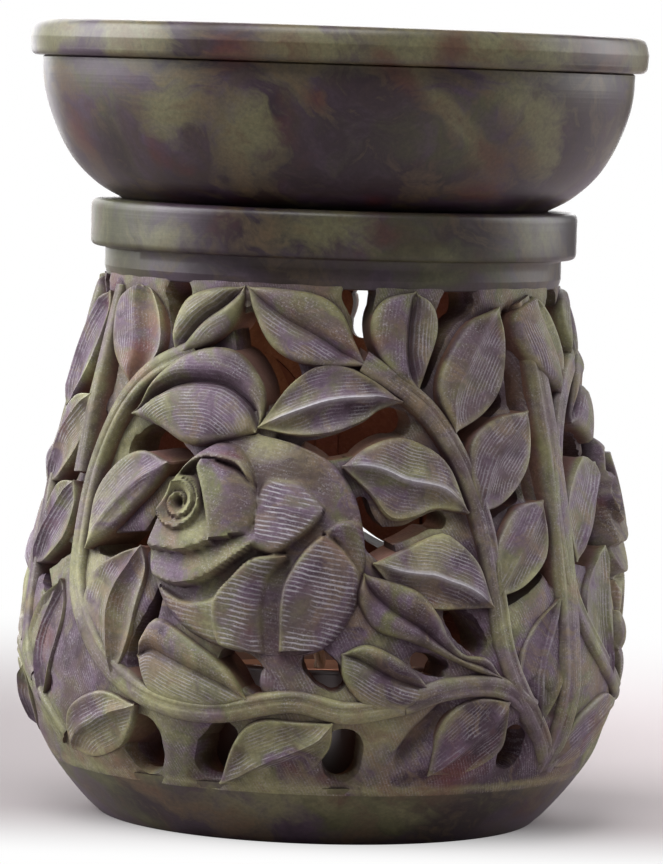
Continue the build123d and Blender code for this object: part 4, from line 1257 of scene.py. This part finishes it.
class OILBURNER_OT_carve_vines(bpy.types.Operator):
    """Carve the vines and the plain pads between the leaves"""
    bl_idname = "oilburner.carve_vines"
    bl_label = "Carve Vines"

    def execute(self, context):
        wall = burner().wall
        blank = carving_blank("vine_blank", 72, 12)
        pad_blank = carving_blank("pad_blank", 14, 12)
        for panel in PANELS:
            stems = enumerate((*STEMS, BORDERS[panel[0]]), start=1)
            cut = [carve_stem(blank, title, points, panel, wall.stem_width * share, wall.stem_lift,
                              -0.03 * MM * place) for place, (title, share, points) in stems]
            cut += [carve_pad(pad_blank, pad, panel, 0.5 * MM + 0.02 * MM * place)
                    for place, pad in enumerate(PADS)]
            piece = join_as(f"vines_{panel[0]}", cut)
            close_up(piece, 50)
            set_down(piece, soapstone(*CARVED), "burner", "body_stone")
        for spare in (blank, pad_blank):
            bpy.data.objects.remove(spare)
        return {"FINISHED"}


class OILBURNER_OT_carve_roses(bpy.types.Operator):
    """Carve the rose of each panel"""
    bl_idname = "oilburner.carve_roses"
    bl_label = "Carve Roses"

    def execute(self, context):
        blank = carving_blank("rose_blank", 180, 180)
        for panel in PANELS:
            piece = carve_rose(blank, panel, 0.6 * MM)
            close_up(piece, 60)
            set_down(piece, soapstone(*CARVED), "burner", "body_stone")
        bpy.data.objects.remove(blank)
        return {"FINISHED"}


class OILBURNER_OT_carve_ground(bpy.types.Operator):
    """Cut back and pierce the stone between the leaves"""
    bl_idname = "oilburner.carve_ground"
    bl_label = "Carve Ground"

    def execute(self, context):
        blank = carving_blank("ground_blank", 96, 84)
        drill_blank = carving_blank("drill_blank", 24, 2)
        for panel in PANELS:
            piece = carve_ground(blank, drill_blank, panel, 0.9 * MM)
            close_up(piece, 50)
            set_down(piece, soapstone(*CARVED), "burner", "body_stone")
        for spare in (blank, drill_blank):
            bpy.data.objects.remove(spare)
        return {"FINISHED"}


class OILBURNER_OT_turn_dish(bpy.types.Operator):
    """Turn the loose oil dish"""
    bl_idname = "oilburner.turn_dish"
    bl_label = "Turn Dish"

    def execute(self, context):
        rim, top, low = DISH_HIGH.x, DISH_HIGH.z, DISH_LOW.z
        seat = COLLAR_HIGH.z
        band = top - 4.6 * MM
        side = flowing(np.array(((27.5, 79.3), (30.6, 81.0), (33.6, 83.7), (35.7, 86.9), (37.4, 91.0),
                                 (38.15, 94.2), (38.3, 97.2))) * MM, np.linspace(0, 1, 26))
        hollow = flowing(np.array(((35.4, 100.4), (34.8, 95.5), (32.6, 90.6), (28.6, 86.8), (24.0, 84.8),
                                   (20.0, 84.3))) * MM, np.linspace(0, 1, 26))
        line = outline((0, low), (22.6 * MM, low, 0.4 * MM), (22.6 * MM, seat), (27.0 * MM, seat, 0.3 * MM),
                       *side, (38.0 * MM, band + 0.05 * MM), (rim - 0.2 * MM, band, 1.0 * MM),
                       (rim, top - 2.2 * MM, 0.8 * MM), (rim - 0.5 * MM, top, 1.5 * MM),
                       (35.6 * MM, top, 0.8 * MM), *hollow, (0, seat + 5.0 * MM))
        piece = turn_piece("dish_stone", line, 200, False)
        wobble(piece, 0.12 * MM)
        close_up(piece, 40)
        set_down(piece, soapstone(*TURNED_DISH), "dish", "dish_stone", "oil_dish")
        return {"FINISHED"}


class OILBURNER_OT_press_cup(bpy.types.Operator):
    """Press the thin cup of the tealight"""
    bl_idname = "oilburner.press_cup"
    bl_label = "Press Cup"

    def execute(self, context):
        low, high = CUP_LOW.z, CUP_HIGH.z
        lip, side = CUP_HIGH.x, CUP_HIGH.x - 0.7 * MM
        sheet = 0.35 * MM
        inner, under_lip = side - sheet, high - 0.7 * MM
        line = outline((0, low), (side - 0.1 * MM, low, 0.8 * MM), (side, low + 2.0 * MM),
                       (side, under_lip, 0.2 * MM), (lip, under_lip, 0.25 * MM), (lip, high, 0.3 * MM),
                       (inner, high, 0.3 * MM), (inner, low + sheet, 0.6 * MM), (0, low + sheet))
        piece = turn_piece("tealight_cup_foil", line, 144, False)
        close_up(piece, 40)
        set_down(piece, pressed_aluminium(), "tealight", "cup_foil", "tealight_cup")
        return {"FINISHED"}


class OILBURNER_OT_pour_wax(bpy.types.Operator):
    """Pour the wax with its sunk top and the climb at cup and wick"""
    bl_idname = "oilburner.pour_wax"
    bl_label = "Pour Wax"

    def execute(self, context):
        low, high, wide = WAX_LOW.z, WAX_HIGH.z, WAX_HIGH.x
        bore, collar, tab = 0.9 * MM, 1.9 * MM, 6.2 * MM
        over_collar, over_tab = low + 3.5 * MM, low + 0.4 * MM
        line = outline((bore, over_collar), (collar, over_collar), (collar, over_tab), (tab, over_tab),
                       (tab, low), (wide, low, 0.5 * MM), (wide, high),
                       (wide - 0.8 * MM, high - 0.5 * MM, 0.6 * MM),
                       (3.0 * MM, high - 0.7 * MM, 1.0 * MM), (bore, high), (bore, over_collar))
        piece = turn_piece("tealight_wax_slug", line, 120, True)
        close_up(piece, 40)
        set_down(piece, paraffin_wax(), "tealight", "wax", "tealight_wax")
        return {"FINISHED"}


class OILBURNER_OT_braid_wick(bpy.types.Operator):
    """Twist the wick from cotton strands"""
    bl_idname = "oilburner.braid_wick"
    bl_label = "Braid Wick"

    def execute(self, context):
        low, high, reach = WICK_LOW.z, WICK_HIGH.z, WICK_HIGH.x
        strands = burner().tealight.strands
        thick = reach * 0.46
        steps = 44
        clear_selection()
        bpy.ops.mesh.primitive_circle_add(vertices=10, radius=thick, fill_type="NGON",
                                          location=(reach - thick, 0, low))
        strand = bpy.context.object
        bpy.ops.object.transform_apply(location=True, rotation=True, scale=True)
        bpy.ops.object.mode_set(mode="EDIT")
        bpy.ops.mesh.select_all(action="SELECT")
        climb = (high - low) / steps
        for step in range(steps):
            bpy.ops.mesh.extrude_region_move(TRANSFORM_OT_translate={"value": (0, 0, climb)})
            bpy.ops.transform.rotate(value=math.radians(22), orient_axis="Z",
                                     center_override=(0, 0, low + climb * (step + 1)))
        bpy.ops.object.mode_set(mode="OBJECT")
        cut = [strand]
        for turn in range(1, strands):
            other = strand.copy()
            other.data = strand.data.copy()
            bpy.context.collection.objects.link(other)
            other.rotation_euler.z = turn * math.tau / strands
            take_up(other)
            bpy.ops.object.transform_apply(location=True, rotation=True, scale=True)
            cut.append(other)
        piece = join_as("wick_braid", cut)
        close_up(piece, 60)
        set_down(piece, braided_cotton(), "tealight", "wick_cotton", "wick")
        return {"FINISHED"}


class OILBURNER_OT_stamp_tab(bpy.types.Operator):
    """Stamp the steel tab with the collar that holds the wick"""
    bl_idname = "oilburner.stamp_tab"
    bl_label = "Stamp Tab"

    def execute(self, context):
        low, high, wide = TAB_LOW.z, TAB_HIGH.z, TAB_HIGH.x
        sheet, collar, bore = low + 0.3 * MM, 1.25 * MM, 0.85 * MM
        line = outline((0, low), (wide, low, 0.1 * MM), (wide, sheet, 0.1 * MM), (collar, sheet, 0.3 * MM),
                       (collar, high, 0.1 * MM), (bore, high, 0.1 * MM), (bore, sheet), (0, sheet))
        piece = turn_piece("wick_tab_steel", line, 64, False)
        close_up(piece, 40)
        set_down(piece, tinned_steel(), "tealight", "tab_steel", "wick_tab")
        return {"FINISHED"}


class OILBURNER_OT_lay_stage(bpy.types.Operator):
    """Lay the pale floor, kept grey round the burner as painted shadow, and place the soft light and the
    camera
    """
    bl_idname = "oilburner.lay_stage"
    bl_label = "Lay Stage"

    def execute(self, context):
        stage = burner().stage
        scene = context.scene
        scene.view_settings.view_transform = "Standard"
        clear_selection()
        bpy.ops.mesh.primitive_plane_add(size=6, location=(0, 0, 0))
        floor = bpy.context.object
        floor.name = "floor"
        material, tree, shader = new_finish("pale_table_top")
        shader.inputs["Roughness"].default_value = 0.85
        spot = add_node(tree, "ShaderNodeTexCoord", {}).outputs["Object"]
        place = add_node(tree, "ShaderNodeSeparateXYZ", {0: spot})
        # Painted shade: the floor colour is darkened towards the left, to half at six centimetres left of the
        # middle.
        side = add_node(tree, "ShaderNodeMapRange", {"Value": place.outputs["X"], "From Min": -0.06,
                                                     "From Max": 0.05,
                                                     "To Min": 0.5, "To Max": 1.05}).outputs[0]
        cover = add_node(tree, "ShaderNodeMix", {0: 1.0, 6: stage.floor, 7: side}, data_type="RGBA",
                         blend_type="MULTIPLY").outputs[2]
        tree.links.new(cover, shader.inputs["Base Color"])
        # Painted shadow: near the burner and behind it the floor keeps its lit grey; further off and in front
        # it turns to white emission for camera rays.
        away = add_node(tree, "ShaderNodeVectorMath", {0: spot}, operation="LENGTH").outputs["Value"]
        around = add_node(tree, "ShaderNodeMapRange", {"Value": away, "From Min": 0.09, "From Max": 0.24},
                          interpolation_type="SMOOTHSTEP").outputs[0]
        before = add_node(tree, "ShaderNodeMapRange", {"Value": place.outputs["Y"], "From Min": 0.0,
                                                       "From Max": -0.045},
                          interpolation_type="SMOOTHSTEP").outputs[0]
        far = add_node(tree, "ShaderNodeMath", {0: around, 1: before}, operation="MAXIMUM").outputs[0]
        path = add_node(tree, "ShaderNodeLightPath", {})
        seen = add_node(tree, "ShaderNodeMath", {0: path.outputs["Is Camera Ray"],
                                                 1: path.outputs["Is Transmission Ray"]},
                        operation="MAXIMUM").outputs[0]
        share = add_node(tree, "ShaderNodeMath", {0: far, 1: seen}, operation="MULTIPLY").outputs[0]
        white = add_node(tree, "ShaderNodeEmission", {"Color": (1, 1, 1, 1), "Strength": 1.0}).outputs[0]
        mixed = add_node(tree, "ShaderNodeMixShader", {0: share, 1: shader.outputs[0], 2: white}).outputs[0]
        tree.links.new(mixed, tree.nodes["Material Output"].inputs["Surface"])
        floor.data.materials.append(material)

        world = bpy.data.worlds.new("studio")
        scene.world = world
        world.use_nodes = True
        sky = world.node_tree
        path = add_node(sky, "ShaderNodeLightPath", {})
        seen = add_node(sky, "ShaderNodeMath", {0: path.outputs["Is Camera Ray"],
                                                1: path.outputs["Is Transmission Ray"]},
                        operation="MAXIMUM").outputs[0]
        level = add_node(sky, "ShaderNodeMapRange", {"Value": seen, "To Min": stage.sky,
                                                     "To Max": 1.0}).outputs[0]
        back = sky.nodes["Background"]
        back.inputs["Color"].default_value = (1, 1, 1, 1)
        sky.links.new(level, back.inputs["Strength"])

        middle = Vector((0, 0, 50 * MM))
        for name, power, place, size in (
                ("left_panel", stage.left_light, (-0.55, 0.05, 0.32), 0.5),
                ("right_panel", stage.right_light, (0.55, 0.20, 0.28), 0.5),
                ("back_panel", stage.back_light, (-0.10, 0.65, 0.18), 0.6),
                ("top_panel", stage.top_light, (-0.10, -0.30, 0.66), 0.45)):
            lamp = bpy.data.lights.new(name, "AREA")
            lamp.energy = power
            lamp.size = size
            stand = bpy.data.objects.new(name, lamp)
            stand.location = place
            stand.rotation_mode = "QUATERNION"
            stand.rotation_quaternion = (middle - Vector(place)).to_track_quat("-Z", "Y")
            context.collection.objects.link(stand)
        # Warm light that has come through the far wall and lies on the chamber's sooty sides.
        glow = bpy.data.lights.new("chamber_glow", "POINT")
        glow.energy = stage.chamber_light
        glow.color = stage.chamber_colour[:3]
        glow.shadow_soft_size = 6 * MM
        inside = bpy.data.objects.new("chamber_glow", glow)
        inside.location = (0, 0, 52 * MM)
        context.collection.objects.link(inside)

        aim = Vector((0.55, 0, 49.75)) * MM
        back_way = Vector((0, -math.cos(stage.rise), math.sin(stage.rise)))
        camera = bpy.data.cameras.new("camera")
        camera.lens = stage.lens
        camera.sensor_width = 36
        camera.clip_start = 0.01
        holder = bpy.data.objects.new("camera", camera)
        holder.location = aim + back_way * stage.distance
        holder.rotation_mode = "QUATERNION"
        holder.rotation_quaternion = (-back_way).to_track_quat("-Z", "Y") @ Quaternion((0, 0, 1), stage.roll)
        context.collection.objects.link(holder)
        scene.camera = holder
        return {"FINISHED"}


STEPS = (
    OILBURNER_OT_turn_foot,
    OILBURNER_OT_turn_collar,
    OILBURNER_OT_carve_leaves,
    OILBURNER_OT_carve_vines,
    OILBURNER_OT_carve_roses,
    OILBURNER_OT_carve_ground,
    OILBURNER_OT_turn_dish,
    OILBURNER_OT_press_cup,
    OILBURNER_OT_pour_wax,
    OILBURNER_OT_braid_wick,
    OILBURNER_OT_stamp_tab,
    OILBURNER_OT_lay_stage,
)


class OILBURNER_PT_panel(bpy.types.Panel):
    """Lists the steps of making the burner"""
    bl_label = "Oil Burner"
    bl_idname = "OILBURNER_PT_panel"
    bl_space_type = "VIEW_3D"
    bl_region_type = "UI"
    bl_category = "Oil Burner"

    def draw(self, context):
        for step in STEPS:
            self.layout.operator(step.bl_idname)
        for group in (burner().wall, burner().stone, burner().tealight, burner().stage):
            box = self.layout.box()
            for name in group.__annotations__:
                box.prop(group, name)


GROUPS = (OILBURNER_PG_wall, OILBURNER_PG_stone, OILBURNER_PG_tealight, OILBURNER_PG_stage,
          OILBURNER_PG_burner)


def register():
    """Adds the settings, the operators and the panel."""
    for kind in (*GROUPS, *STEPS, OILBURNER_PT_panel):
        bpy.utils.register_class(kind)
    bpy.types.Scene.oil_burner = PointerProperty(type=OILBURNER_PG_burner)


def unregister():
    """Takes them away again."""
    del bpy.types.Scene.oil_burner
    for kind in (OILBURNER_PT_panel, *reversed(STEPS), *reversed(GROUPS)):
        bpy.utils.unregister_class(kind)


def main():
    """Makes the burner step by step."""
    register()
    bpy.ops.oilburner.turn_foot()
    bpy.ops.oilburner.turn_collar()
    bpy.ops.oilburner.carve_leaves()
    bpy.ops.oilburner.carve_vines()
    bpy.ops.oilburner.carve_roses()
    bpy.ops.oilburner.carve_ground()
    bpy.ops.oilburner.turn_dish()
    bpy.ops.oilburner.press_cup()
    bpy.ops.oilburner.pour_wax()
    bpy.ops.oilburner.braid_wick()
    bpy.ops.oilburner.stamp_tab()
    bpy.ops.oilburner.lay_stage()


if __name__ == "__main__":
    main()
